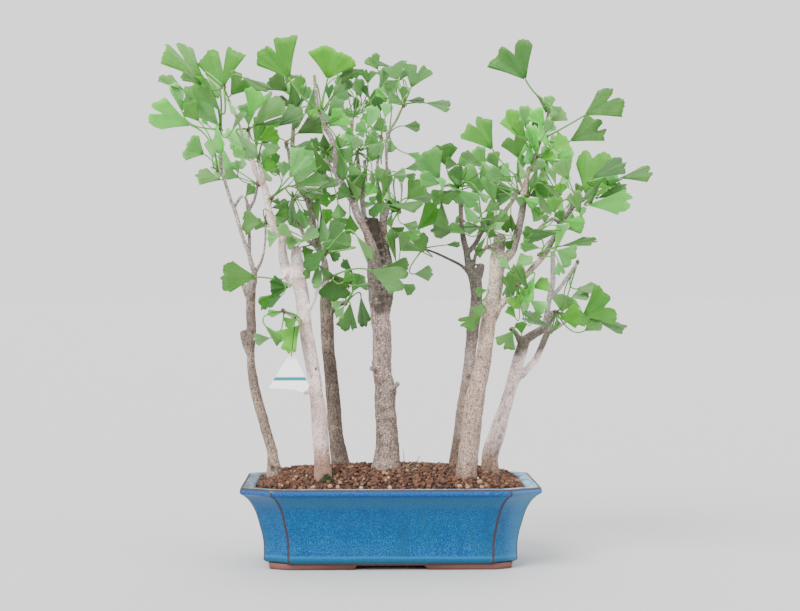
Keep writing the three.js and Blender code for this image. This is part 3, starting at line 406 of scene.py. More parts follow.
class Recipe:
    """The node material of one finish."""

    def __init__(self, name: str) -> None:
        """Makes a material that holds only a Principled shader."""
        self.material = bpy.data.materials.new(name)
        self.material.use_nodes = True
        self.nodes = self.material.node_tree.nodes
        self.links = self.material.node_tree.links
        self.shader = self.nodes["Principled BSDF"]

    def node(self, kind: str, settings: dict, inputs: dict, output: str | int = 0) -> Wire:
        """Adds a shader node.

        Args:
            kind: Its type, without the leading ShaderNode.
            settings: Attributes to set first.
            inputs: A value or a Wire for each socket, by its name or number.
            output: Name or number of the output to hand back.

        Returns:
            That output.
        """
        node = self.nodes.new("ShaderNode" + kind)
        for key, value in settings.items():
            setattr(node, key, value)
        for key, value in inputs.items():
            if isinstance(value, Wire):
                self.links.new(value.socket, node.inputs[key])
            else:
                node.inputs[key].default_value = value
        return Wire(self, node.outputs[output])

    def place(self) -> Wire:
        """The point's own place, in metres."""
        return self.node("TexCoord", {}, {}, "Object")

    def stretched(self, vector: Wire, scale: Point) -> Wire:
        """A place scaled along each axis."""
        return self.node("Mapping", {}, {"Vector": vector, "Scale": scale})

    def noise(self, vector: Wire, scale: float, detail: float = 3.0) -> Wire:
        """Smooth noise from 0 to 1, with scale cells to the metre."""
        inputs = {"Vector": vector, "Scale": scale, "Detail": detail}
        return self.node("TexNoise", {}, inputs)

    def cells(self, vector: Wire, scale: float) -> Wire:
        """Distance to the nearest of scattered points, scale of them to the metre."""
        return self.node("TexVoronoi", {}, {"Vector": vector, "Scale": scale})

    def carried(self, name: str, output: str = "Fac") -> Wire:
        """A value that the mesh carries; output is Fac for numbers and Color for colours."""
        return self.node("Attribute", {"attribute_name": name}, {}, output)

    def part(self, vector: Wire, axis: str) -> Wire:
        """One of a vector's parts: X, Y or Z."""
        return self.node("SeparateXYZ", {}, {"Vector": vector}, axis)

    def ramp(self, factor: Wire, stops: list[tuple[float, Colour]]) -> Wire:
        """A colour picked by a factor from three stops, each a place and its colour."""
        picked = self.node("ValToRGB", {}, {"Fac": factor})
        elements = picked.socket.node.color_ramp.elements
        elements.new(0.5)
        for element, (place, colour) in zip(elements, stops):
            element.position, element.color = place, (*colour, 1)
        return picked

    def mix(self, factor: Wire | float, low: Wire | Colour, high: Wire | Colour, blend: str = "MIX") -> Wire:
        """A colour between two, or low blended with high."""
        low, high = ((*c, 1) if isinstance(c, tuple) else c for c in (low, high))
        settings = {"data_type": "RGBA", "blend_type": blend}
        return self.node("Mix", settings, {0: factor, 6: low, 7: high}, 2)

    def layered(self, base: Wire | Colour, *layers: tuple) -> Wire:
        """Lays colours over a base in order, each by its share, with a blend if it names one."""
        for share, colour, *blend in layers:
            base = self.mix(share, base, colour, *blend)
        return base

    def bump(self, height: Wire, distance: float, strength: float = 1.0) -> Wire:
        """A normal tilted by the slope of a height; distance is its reach in metres."""
        return self.node("Bump", {}, {"Height": height, "Distance": distance, "Strength": strength}, "Normal")

    def served(self, **sockets: Wire | float | Colour) -> Material:
        """Sets the shader's sockets, whose names are written with _ for a space."""
        for key, value in sockets.items():
            socket = self.shader.inputs[key.replace("_", " ")]
            if isinstance(value, Wire):
                self.links.new(value.socket, socket)
            else:
                socket.default_value = (*value, 1) if socket.type == "RGBA" else value
        return self.material


@dataclass(frozen=True)
class Glaze:
    """Runny blue glaze over red-brown clay, which breaks brown where it is thin."""

    deep: Colour = (0.0004, 0.026, 0.1)
    azure: Colour = (0.001, 0.065, 0.198)
    pale: Colour = (0.007, 0.16, 0.322)
    # Deep blue for the band under the lip, partly painted shade.
    lip_blue_and_shade: Colour = (0.001, 0.03, 0.2)
    bright: Colour = (0.006, 0.12, 0.3)
    grey: Colour = (0.014, 0.108, 0.21)
    teal: Colour = (0.001, 0.078, 0.135)
    ledge: Colour = (0.2, 0.34, 0.45)
    # Painted shade: a darker grey for the left end of the rim, standing for its darker reflection.
    thin: Colour = (0.032, 0.022, 0.02)
    left_rim_shade: Colour = (0.062, 0.07, 0.08)
    # Painted light: a paler blue for the right corner face, as if more light fell on it.
    right_face_light: Colour = (0.045, 0.19, 0.33)
    clay: Colour = (0.178, 0.076, 0.062)

    def material(self) -> Material:
        """Mottled blue, with a deep blue band under the lip that is partly painted shade, and dark lines on
        the ridges.
        """
        r = Recipe("glaze")
        place = r.place()
        level = r.part(place, "Z") + (r.noise(place, 24) - 0.5) * 0.003
        fleck = r.noise(r.stretched(place, (1, 1, 0.6)), 1200, 2)
        drift = r.noise(r.stretched(place, (1, 1, 0.4)), 30, 4)
        body = r.ramp(fleck, [(0.32, self.deep), (0.5, self.azure), (0.76, self.pale)])
        runs = r.noise(r.stretched(place, (1, 1, 0.14)), 60, 3)
        streak = r.noise(r.stretched(place, (0.8, 0.55, 1)), 150, 4)
        along = r.part(place, "X")
        # Painted shade: the left end of the rim is darkened, as if it reflected darker surroundings, broken
        # by streaks.
        left_end_shade = 1 - along.between(-0.155, -0.06)
        lip_blue_and_shade = r.mix(fleck.between(0.36, 0.66), self.lip_blue_and_shade, self.bright)
        line = level.between(0.0114, 0.0128) * (1 - level.between(0.0138, 0.0154))
        ledge = r.layered(
            self.ledge,
            (streak.between(0.42, 0.6) * 0.6, self.azure),
            (left_end_shade * (0.55 + streak.between(0.4, 0.55) * 0.4), self.left_rim_shade),
        )
        flat = r.carried("ledge")
        worn = (r.carried("ridge") * (0.7 + r.noise(place, 260) * 0.6)).between(0.4, 0.75)
        body = r.layered(
            body,
            (runs.between(0.48, 0.7) * 0.3, self.deep),
            (drift.between(0.5, 0.72) * 0.5, self.teal),
            (level.between(0.059, 0.07) * 0.52, self.grey),
            # The band under the lip: deep blue glaze, partly painted shade.
            (level.between(0.0742, 0.0762), lip_blue_and_shade),
            ((1 - level.between(0.011, 0.015)) * 0.7, self.teal),
            (line * 0.75, self.bright),
            # Painted light: the right corner face is made paler, as if lit more from the right.
            (along.between(0.104, 0.124) * (0.3 + 0.4 * drift), self.right_face_light),
            (flat, ledge),
            (worn * 0.92, self.thin),
        )
        raw = r.carried("clay")
        clay = r.mix(r.noise(place, 420) * 0.5, self.clay, self.thin)
        rough = 0.15 + 0.12 * drift + 0.3 * worn + 0.55 * raw + 0.5 * flat
        return r.served(
            Base_Color=r.mix(raw, body, clay),
            Roughness=rough,
            Specular_IOR_Level=0.22,
            Coat_Weight=(1 - raw) * (1 - flat) * 0.16,
            Coat_Roughness=0.08,
            Normal=r.bump(fleck + r.noise(place, 60) * 2, 0.0004, 0.2),
        )


@dataclass(frozen=True)
class Bark:
    """Bark of one tree: grey-brown, in fine upright cracks, with pale raised pores."""

    name: str
    light: Colour
    dark: Colour
    crack: Colour = (0.04, 0.028, 0.021)
    pore: Colour = (0.5, 0.39, 0.3)
    pores: float = 0.5
    rough: float = 0.6
    speckle: float = 0.7
    # Raised pores: how many to the metre.
    pore_scale: float = 290.0
    # Colour of scars and saw cuts, partly painted shade in hollow marks.
    fork: Colour = (0.095, 0.075, 0.06)
    shoot: Colour = (0.19, 0.27, 0.07)
    # Darkening towards the foot: how strong, and the height in metres that it reaches.
    foot_darkening: Pair = (0, 0.12)
    # Bands of tint by height, partly older, paler or dead wood and partly painted light and shade: the lowest
    # and highest height, then the tint.
    wood_and_light_bands: Rows = field(default_factory=list)
    band_edge: float = 0.005

    def material(self) -> Material:
        """Mixes plates, cracks and pores by the place, and scars, saw cuts and painted shade in hollows by
        what the mesh carries.
        """
        r = Recipe(self.name)
        place = r.place()
        upright = r.stretched(place, (1, 1, 0.45))
        level = r.stretched(place, (1, 1, 1.9))
        plates = r.noise(upright, 420, 5)
        patch = r.noise(place, 45, 3)
        rings = r.noise(level, 330, 3)
        hollow = r.carried("relief").between(-0.15, -0.75)
        dots = 1 - r.cells(level, self.pore_scale).between(0.14, 0.3)
        dots = dots * r.noise(place, 150).between(0.4, 0.5)
        grit = r.noise(place, 780, 3)
        height = r.part(place, "Z") + (r.noise(place, 60) - 0.5) * 0.014
        # Tints by height: partly older, paler or dead wood, partly painted light and shade.
        wood_and_light_bands = [
            (height.within(low, high, self.band_edge), tuple(tint), "MULTIPLY")
            for low, high, *tint in self.wood_and_light_bands
        ]
        strength, reach = self.foot_darkening
        wood = r.layered(
            self.dark,
            (patch.between(0.3, 0.7), self.light),
            (rings.between(0.48, 0.66) * 0.7, self.dark),
            ((1 - plates.between(0.37, 0.48)) * self.rough, self.crack),
            # Darker where the carved relief sinks in: partly crack colour, partly painted shade.
            (hollow * 0.45, self.crack),
            ((1 - grit.between(0.36, 0.52)) * self.speckle, self.crack),
            (grit.between(0.52, 0.66) * self.speckle, (1.6, 1.55, 1.5), "MULTIPLY"),
            (dots * self.pores, self.pore),
            *wood_and_light_bands,
            # Darker towards the foot, up to the reach.
            ((1 - height.between(reach - 0.03, reach)) * strength, (0.42, 0.33, 0.26), "MULTIPLY"),
            # Scars and saw cuts, with painted shade where a mark is a hollow.
            (r.carried("scar"), self.fork),
            (r.carried("green"), self.shoot),
        )
        height = plates * 0.7 + rings * 0.4 + dots * self.pores * 1.2
        return r.served(
            Base_Color=wood,
            Roughness=0.74 + 0.16 * patch,
            Specular_IOR_Level=0.3,
            Normal=r.bump(height, 0.0012, 0.65),
        )


@dataclass(frozen=True)
class Leaf:
    """Ginkgo leaf: matt green with veins that fork as they fan out."""

    vein_count: float = 11.0

    def material(self) -> Material:
        """Leaf colour carried by the mesh, with veins along lines of equal side."""
        r = Recipe("ginkgo_leaf")
        place = r.place()
        tint = r.carried("tint", "Color")
        woody = r.carried("woody")
        under = r.carried("under")
        uv = r.node("UVMap", {"uv_map": "leaf_map"}, {}, "UV")
        side, out = r.part(uv, "X"), r.part(uv, "Y")
        coarse = (side * self.vein_count).math("PINGPONG", 0.5) * 2
        fine = (side * (self.vein_count * 2)).math("PINGPONG", 0.5) * 2
        forked = out.between(0.35, 0.6)
        line = (1 - coarse.between(0, 0.5)) * (1 - forked) + (1 - fine.between(0, 0.55)) * forked
        line = line * (1 - woody) * out.between(0.02, 0.15)
        patch = r.noise(place, 70, 4)
        fleck = r.noise(place, 900, 2)
        shades = (
            (patch.between(0.35, 0.7) * 0.55, (0.62, 0.78, 0.6)),
            (under, (1.05, 0.98, 1.3)),
            (line * 0.17, (2.5, 1.65, 2.3)),
            ((1 - line) * out.between(0.1, 0.4) * 0.14, (0.5, 0.66, 0.5)),
            (out.between(0.92, 1) * (1 - woody) * 0.25, (2, 1.3, 1.15)),
            (fleck.between(0.45, 0.7) * 0.12, (0.22, 0.31, 0.23)),
        )
        green = r.layered(tint, *((*shade, "MULTIPLY") for shade in shades))
        bud = r.mix(r.noise(place, 500, 3).between(0.35, 0.65), (0.07, 0.045, 0.03), (0.2, 0.15, 0.1))
        height = line * 1.2 + fleck * 0.35 + patch * 0.8
        return r.served(
            Base_Color=r.mix(woody, green, bud),
            Roughness=0.46 + 0.3 * woody + 0.1 * patch,
            Specular_IOR_Level=0.25,
            Normal=r.bump(height, 0.0004, 0.5),
            Subsurface_Weight=0.12,
            Subsurface_Radius=(0.002, 0.004, 0.001),
            Subsurface_Scale=0.4,
        )


@dataclass(frozen=True)
class Grain:
    """Baked clay grains, pebbles, moss and dry wisps: a tint by piece, dusted and pitted."""

    name: str
    roughness: float = 0.92
    pit: Colour = (0.022, 0.011, 0.007)
    dust: float = 0.25

    def material(self) -> Material:
        """The carried tint, darker in pits and paler where dust lies."""
        r = Recipe(self.name)
        place = r.place()
        tint = r.carried("tint", "Color")
        speck = r.noise(place, 900, 4)
        patch = r.noise(place, 260, 3)
        body = r.mix((1 - speck.between(0.36, 0.5)) * 0.5, tint, self.pit)
        body = r.mix(patch.between(0.5, 0.75) * self.dust, body, (0.2, 0.095, 0.048))
        return r.served(
            Base_Color=body,
            Roughness=self.roughness - 0.08 * speck,
            Normal=r.bump(speck + patch, 0.0012, 0.7),
        )


@dataclass(frozen=True)
class Plain:
    """A quiet finish of one colour with fine fibres or grain in it."""

    name: str
    colour: Colour
    second: Colour
    scale: float
    roughness: float
    relief: float

    def material(self) -> Material:
        """Two near colours in fine noise, with the same noise as relief."""
        r = Recipe(self.name)
        grain = r.noise(r.place(), self.scale, 4)
        return r.served(
            Base_Color=r.mix(grain.between(0.3, 0.7), self.colour, self.second),
            Roughness=self.roughness + 0.1 * grain,
            Normal=r.bump(grain, self.relief, 0.5),
        )


@dataclass(frozen=True)
class TagPaper:
    """White coated paper with one plain teal stripe between two heights, in metres."""

    low: float
    high: float
    paper: Colour = (0.9, 0.91, 0.92)
    shade: Colour = (0.82, 0.84, 0.86)
    stripe: Colour = (0.004, 0.19, 0.23)

    def material(self) -> Material:
        """Fine fibres in white, and the stripe by height."""
        r = Recipe("tag_paper")
        place = r.place()
        fibre = r.noise(place, 1400, 4)
        sheet = r.mix(fibre.between(0.4, 0.7) * 0.5, self.paper, self.shade)
        band = r.part(place, "Z").within(self.low, self.high, 0.0001)
        return r.served(
            Base_Color=r.mix(band, sheet, self.stripe),
            Roughness=0.42 + 0.12 * fibre,
            Normal=r.bump(fibre, 0.0002, 0.3),
        )


# ---- what grows where

# Trees: the name, how rough the bark is and which stems end in a saw cut, then a row for
#   each stem or dead stub: its depth at the start and the end, then u, v and width by ring
#   each mark on the bark: u, v, how far it reaches, how far it stands out, how dark it is
#   each band of tint by height, partly older, paler or dead wood and partly painted light and shade: its
#   lowest and highest height, the tint there.
TREES = """
trunk_1 1 0 1
15 6 274 472 15 273 460 11.5 272 450 10 266 430 10 260.5 410 10 255 390 9.6 253.4 380 9 251.2 365 8.2 251
  350 7.4 251.5 330 9.4 250.8 310 8.7 251.5 290 9 252 280 8
10 8 252 358 7 246 344 7 243.5 331 7
6 6 250 300 6 246.5 294 4.5 243 284 4
6 -8 253.5 286 6 255 276 5 251 262 4.7 248.5 252 4.2 244 240 4 240 228 3.6 236 213 3.7 231 200 3.6 226 184
  3.2 222 170 3.2 221 150 3 221 131 2.6
0 -8 234 208 3.2 240 198.5 3 243 196 2.6
6 34 249.5 254 4 249.5 240 3.6 249 220 3.4 247 202 3 245.5 197.5 2.6
28 36 249.5 210 3 254.5 200 2.8 257 190 2.6 257.5 186 2.4
6 18 255 274 3.4 262 260 2.6 265 245 2.2 266 224 2
mark 273 469 3.6 -2.2 1
253.4 379 6.5 .9 .15
256 393 1.4 -.3 .8
244 330 4 .2 .55
band .09 .113 1.3 1.3 1.3
.138 .155 1.2 1.2 1.25
.222 .275 .96 .98 1.02
.275 .33 1.35 1.5 1.7
.33 .5 1.5 1.7 2
trunk_2 .7 1
-45 -38 323 477 18 322 460 16 321 446 15.6 320 430 16 318.5 412 15.2 316.5 396 13.4 314.5 380 13.6 312 364
  13.4 309 348 13.8 306.4 334 13.4 304 318 13.5 303 302 13.7 300.5 288 14.2 297.5 277 16
-38 -34 298.5 284 13 298 268 12 296.8 256 11 296 247 9.5
-38 -16 292 284 10 285 266 9.6 282.5 250 8 282 234 8 276 230 8 271 218 6.8 267.3 202 6.6 265 188 6.6 261 181
  6
-20 -26 263 184 5 256 173 4.6 252.6 160 4.4 249.5 150 4 249 131 2.8
-18 -12 264 186 4.4 262.5 175 4 259.5 162 3.2
-16 -16 266 196 3.6 271 197 3.2
-30 -38 280 234 4 282.5 229 4
-40 -52 287 273 4.4 284 277 3.6 281 280 3
-26 -46 249.5 148 3 245.5 142 2.8 238.5 122 2.4 230 102 2.2 225 89 1.8
-45 -62 303 322 4.6 294 317 3.6 285 312 2.8
-42 -76 308 311 5 314 300 4 319 284 3.4 323.5 262 3 326 254 2.6
-56 -70 318.5 287 3.6 324 283 3.4 330 278 3
-41 -42 311 391.5 3.6 307 392.5 3.2 303 393.5 2.4
mark 316 369 2 -.5 .95
303 339 2.4 .3 .35
313 398 1.2 -.2 .6
298 310 1.1 -.2 .7
323 446 1.3 -.2 .45
296 276 6.5 .8 .1
band .18 .236 1.25 1.3 1.36
.25 .3 1.22 1.36 1.4
.302 .322 .68 .8 .78
.392 .5 1.25 1.28 1.4
trunk_3 1.1
45 46 340 463 18 338 449 16 336 436 14 334.5 420 14.4 333.5 402 14.2 331.6 382 13.2 330 366 13 328.2 350 13
  327.2 330 13.2 327 312 13.4 325.7 298 11 326 284 7 325.5 265 5.6 318 247 6.4
48 66 319 249 7 314 232 7.2 312 216 7.2 309.5 202 8 303 191 7.6 298 185 6.6
62 72 303 194 5 296 178 4.6 293 162 4.4 292.8 140 4.2 294 122 3.6 296 112 3
70 62 291.5 172 3.2 289 156 3 287 144 2.6
47 88 317 247 4.4 311 243 4 305 237 4 299 224 3.6 292.5 212 3.4 294 200 3
45 22 331 313 4.6 339 305 4.2 345 303 3.4
mark 338 447.5 9.5 .9 .25
334 401 8 .6 .2
331 346 2 .2 .6
328 330 6.5 .5 .1
band .11 .13 .8 .8 .8
.136 .158 .8 .8 .8
.158 .218 .62 .64 .64
.255 .3 .55 .66 .58
.315 .385 1.4 1.6 1.7
.41 .432 1.2 1.4 1.5
trunk_4 1.5 0
0 2 386 473 32 386.6 462 27 387 448 23.5 386.6 434 21.6 385.4 416 20.6 385 402 20 385.6 390 21 383 378 19
  381.8 362 19 382.3 346 19 381.6 330 18.6 380.2 314 19.6 381 300 24 380.6 286 25 379.6 272 25 377 256 20
  373 236 18 371 219 15
-6 -28 381 266 9 375 250 7 367.5 234 7 358.5 217 7.4 353.5 203 7.4 345 188 6.4 337 175 6.8
-28 -56 338 178 6 336 164 6 334 150 5 330 135 5 324.5 127 4.6 322 114 3.8
-54 -60 322.4 118 3.8 318.5 110 3.6 316 92 3.4 314.4 75 3
-28 -32 334.4 173 3.4 330 166 3.2 326.4 156 2.6
-19 28 356 209 5.4 353 180 4.4 350.6 160 4 351 140 3.8 352.6 118 3.4
0 -12 366 226 5.6 362.5 204 5 360.4 180 4.2 357.4 154 3
-5 -14 362.5 200 4 365.6 180 4 364.5 160 3.4
0 12 388 264 10 385.4 250 8.4 384 236 7.8 383 222 7.6 384 212 7.4
12 42 383.5 216 5.4 379.6 200 4.4 377.4 180 3.6 378 158 3.2 381 139 2.6
10 -34 385.5 217 5.4 388.4 200 4.6 387.4 182 3.4 386.5 158 3 387.5 135 3 396 121 2.6 403 106 2.4
6 -4 388 205 3.4 393 207 3 398 210 2.6
2 -14 388 286 7 394 284 4.6 398 283 3.4
-9 -11 390 389 5.5 395 387 5 398.4 382.5 4.6
-9 -10 374 369 5 370.6 367.6 3.6
mark 372 369 4.5 .8 .35
379 309 7 .7 .8
381 298 5 -.6 .85
383 410 3 .4 .1
390 285 6 .9 .25
381 437 3 -.4 .4
392 320 3 -.5 .4
380 340 2.6 -.4 .35
381 283 2.2 -1.3 1
379.5 276 2.4 -1.6 1
382 290 2.2 -1.3 1
387.5 297 2.6 -1 .9
376 306 3 .6 .7
383 304 2.6 -.7 .9
371 222 5.6 -.5 1
376 222 5.6 -.3 1
373 229 6 -.4 1
377.5 230 6 -.5 1
376.5 238 5.8 -.4 1
380 246 5 -.6 1
381.5 254 3.8 -.8 1
383 262 3 -.8 1
374 272 3.2 -.5 .6
band .19 .257 1.5 1.46 1.56
.262 .276 .76 .82 .8
.276 .322 .52 .58 .57
.352 .5 1.45 1.65 1.8
trunk_5 1 1
50 66 457 463 15 458 448 13 460.4 430 12 462.5 410 12 465.6 392 11.6 468.4 374 11.4 470 358 11.4 471.6 344
  11.2 473.4 328 12 475.4 312 11.8 476.6 296 11.4 475.8 282 12.6 473 270 12
64 66 476 284 8 480 272 8 481 264 7.4
65 76 472 276 8 468.4 264 6.8 466.8 252 6.4 463.8 240 5.8 461.6 226 4.6 460.6 206 4.4 458 188 3.2
70 96 467 254 5 476 243 4.8 483 230 4.8 493 221 4.6 505 211 4.4 512 202 4 518 193 3.4
68 62 472.5 268 4 474.5 260 3.4 476 253 2.8
66 92 469 274 3.4 462 266 3 450 259.5 2.6 436 253 2.4 425 249 2
mark 469 377 2.6 -.6 1
468 331 5 .8 .45
463 350 5 .5 .1
480 272 5 .2 .6
band .18 .215 1.22 1.28 1.38
.225 .262 .62 .68 .7
.262 .35 .46 .56 .56
trunk_6 1 0
-35 -44 466.5 480 22 466.6 470 20.6 468.4 456 19.8 470.4 438 19.6 472.6 418 19.8 475.6 398 19 479 380 17.6
  482.6 366 15.4 485 350 15 487.2 332 15.2 490 314 15 493.6 296 15.2 496.2 280 14.6 497 262 14.2 498.6 248
  13 500.2 235 11.4
-38 -58 492 322 9 499 308 7 507 299 6.2 514 289 5.8 523 279 5.6 533 268 6 541 259 6.2 547 251 6.2
-58 -74 546 253 5.4 551 244 5.2 557 232 5 560 225 5.2 566 216 5 571.5 209 5 575 199 4
-72 -90 571.5 209 3.2 580 203 2.6 595 193 2.2 606 188 2
-66 -92 560 222 3.6 552 219 3.6 543 225 3.4 538 230 3
-58 -62 543 259 4 541 255 3.4
-44 -54 494 250 5 488 247 3.6
-40 -52 487 311 5 481 304 3.6
-42 -12 498 268 10 505 260 9.2 512 251 9 515.5 240 8.6 519 228 7.6 522 214 7 524 200 6.4 525 190 5.6 527 178
  5.2 530 167 5
-19 -22 524 190 3.6 519 179 2.8
-12 -12 529 172 4.6 534 164 4 537 152 3.6 541 139 3.2 546 125 2.8 550 107 2.4
-46 -52 512 294 4 517 286 3.2
mark 504 268 5 1 .3
497 316 4.5 .5 .45
480 370 1.5 -.2 .6
493 256 3 .3 .4
468 462 4 .5 .1
band .222 .265 1.6 1.62 1.64
.265 .318 1.28 1.46 1.48
.318 .374 .56 .66 .7
trunk_7 .75
15 15 490.6 473 18 490 461 16.8 492 449 16.8 497 435 16 501.5 420 14.2 506 406 12.4 510.4 391 11.8 514.4 378
  12.6 518.6 361 12 522.2 349 11.6 525.6 338 11
14 8 522 345 6.4 516.5 334 4.6 513 330 3.6
15 0 524 341 9 535 334 8.4 543 329 8 550 320 7.6 555 312 6.6
15 40 519 377 8 527 370 7 535.5 360 6.2 541 349 6.2 546 337 6.4 551.4 324 5.8
33 48 548 333 4 557 328 3.4 568 321 2.6
4 10 545 325 5.4 548 310 5.2 550 297 5.2 553 284 5.2 553.4 268 5 553 251 4.4
9 34 551.6 296 4.6 558 290.6 4.2 566 280 3.6 577 264 2.6
12 -12 539 334 3.4 545 329 3 552 319 2.6 556 313 2.4
mark 510.5 393.5 1.5 -.3 .9
500 437 3 .5 .55
512 411 1.3 .2 .4
524 376 5 .5 .25
523 343 6 .6 .3
band .19 .212 1.1 1.1 1.12
.214 .24 .24 .26 .22
.24 .262 .5 .58 .52
.262 .345 .45 .52 .54
"""

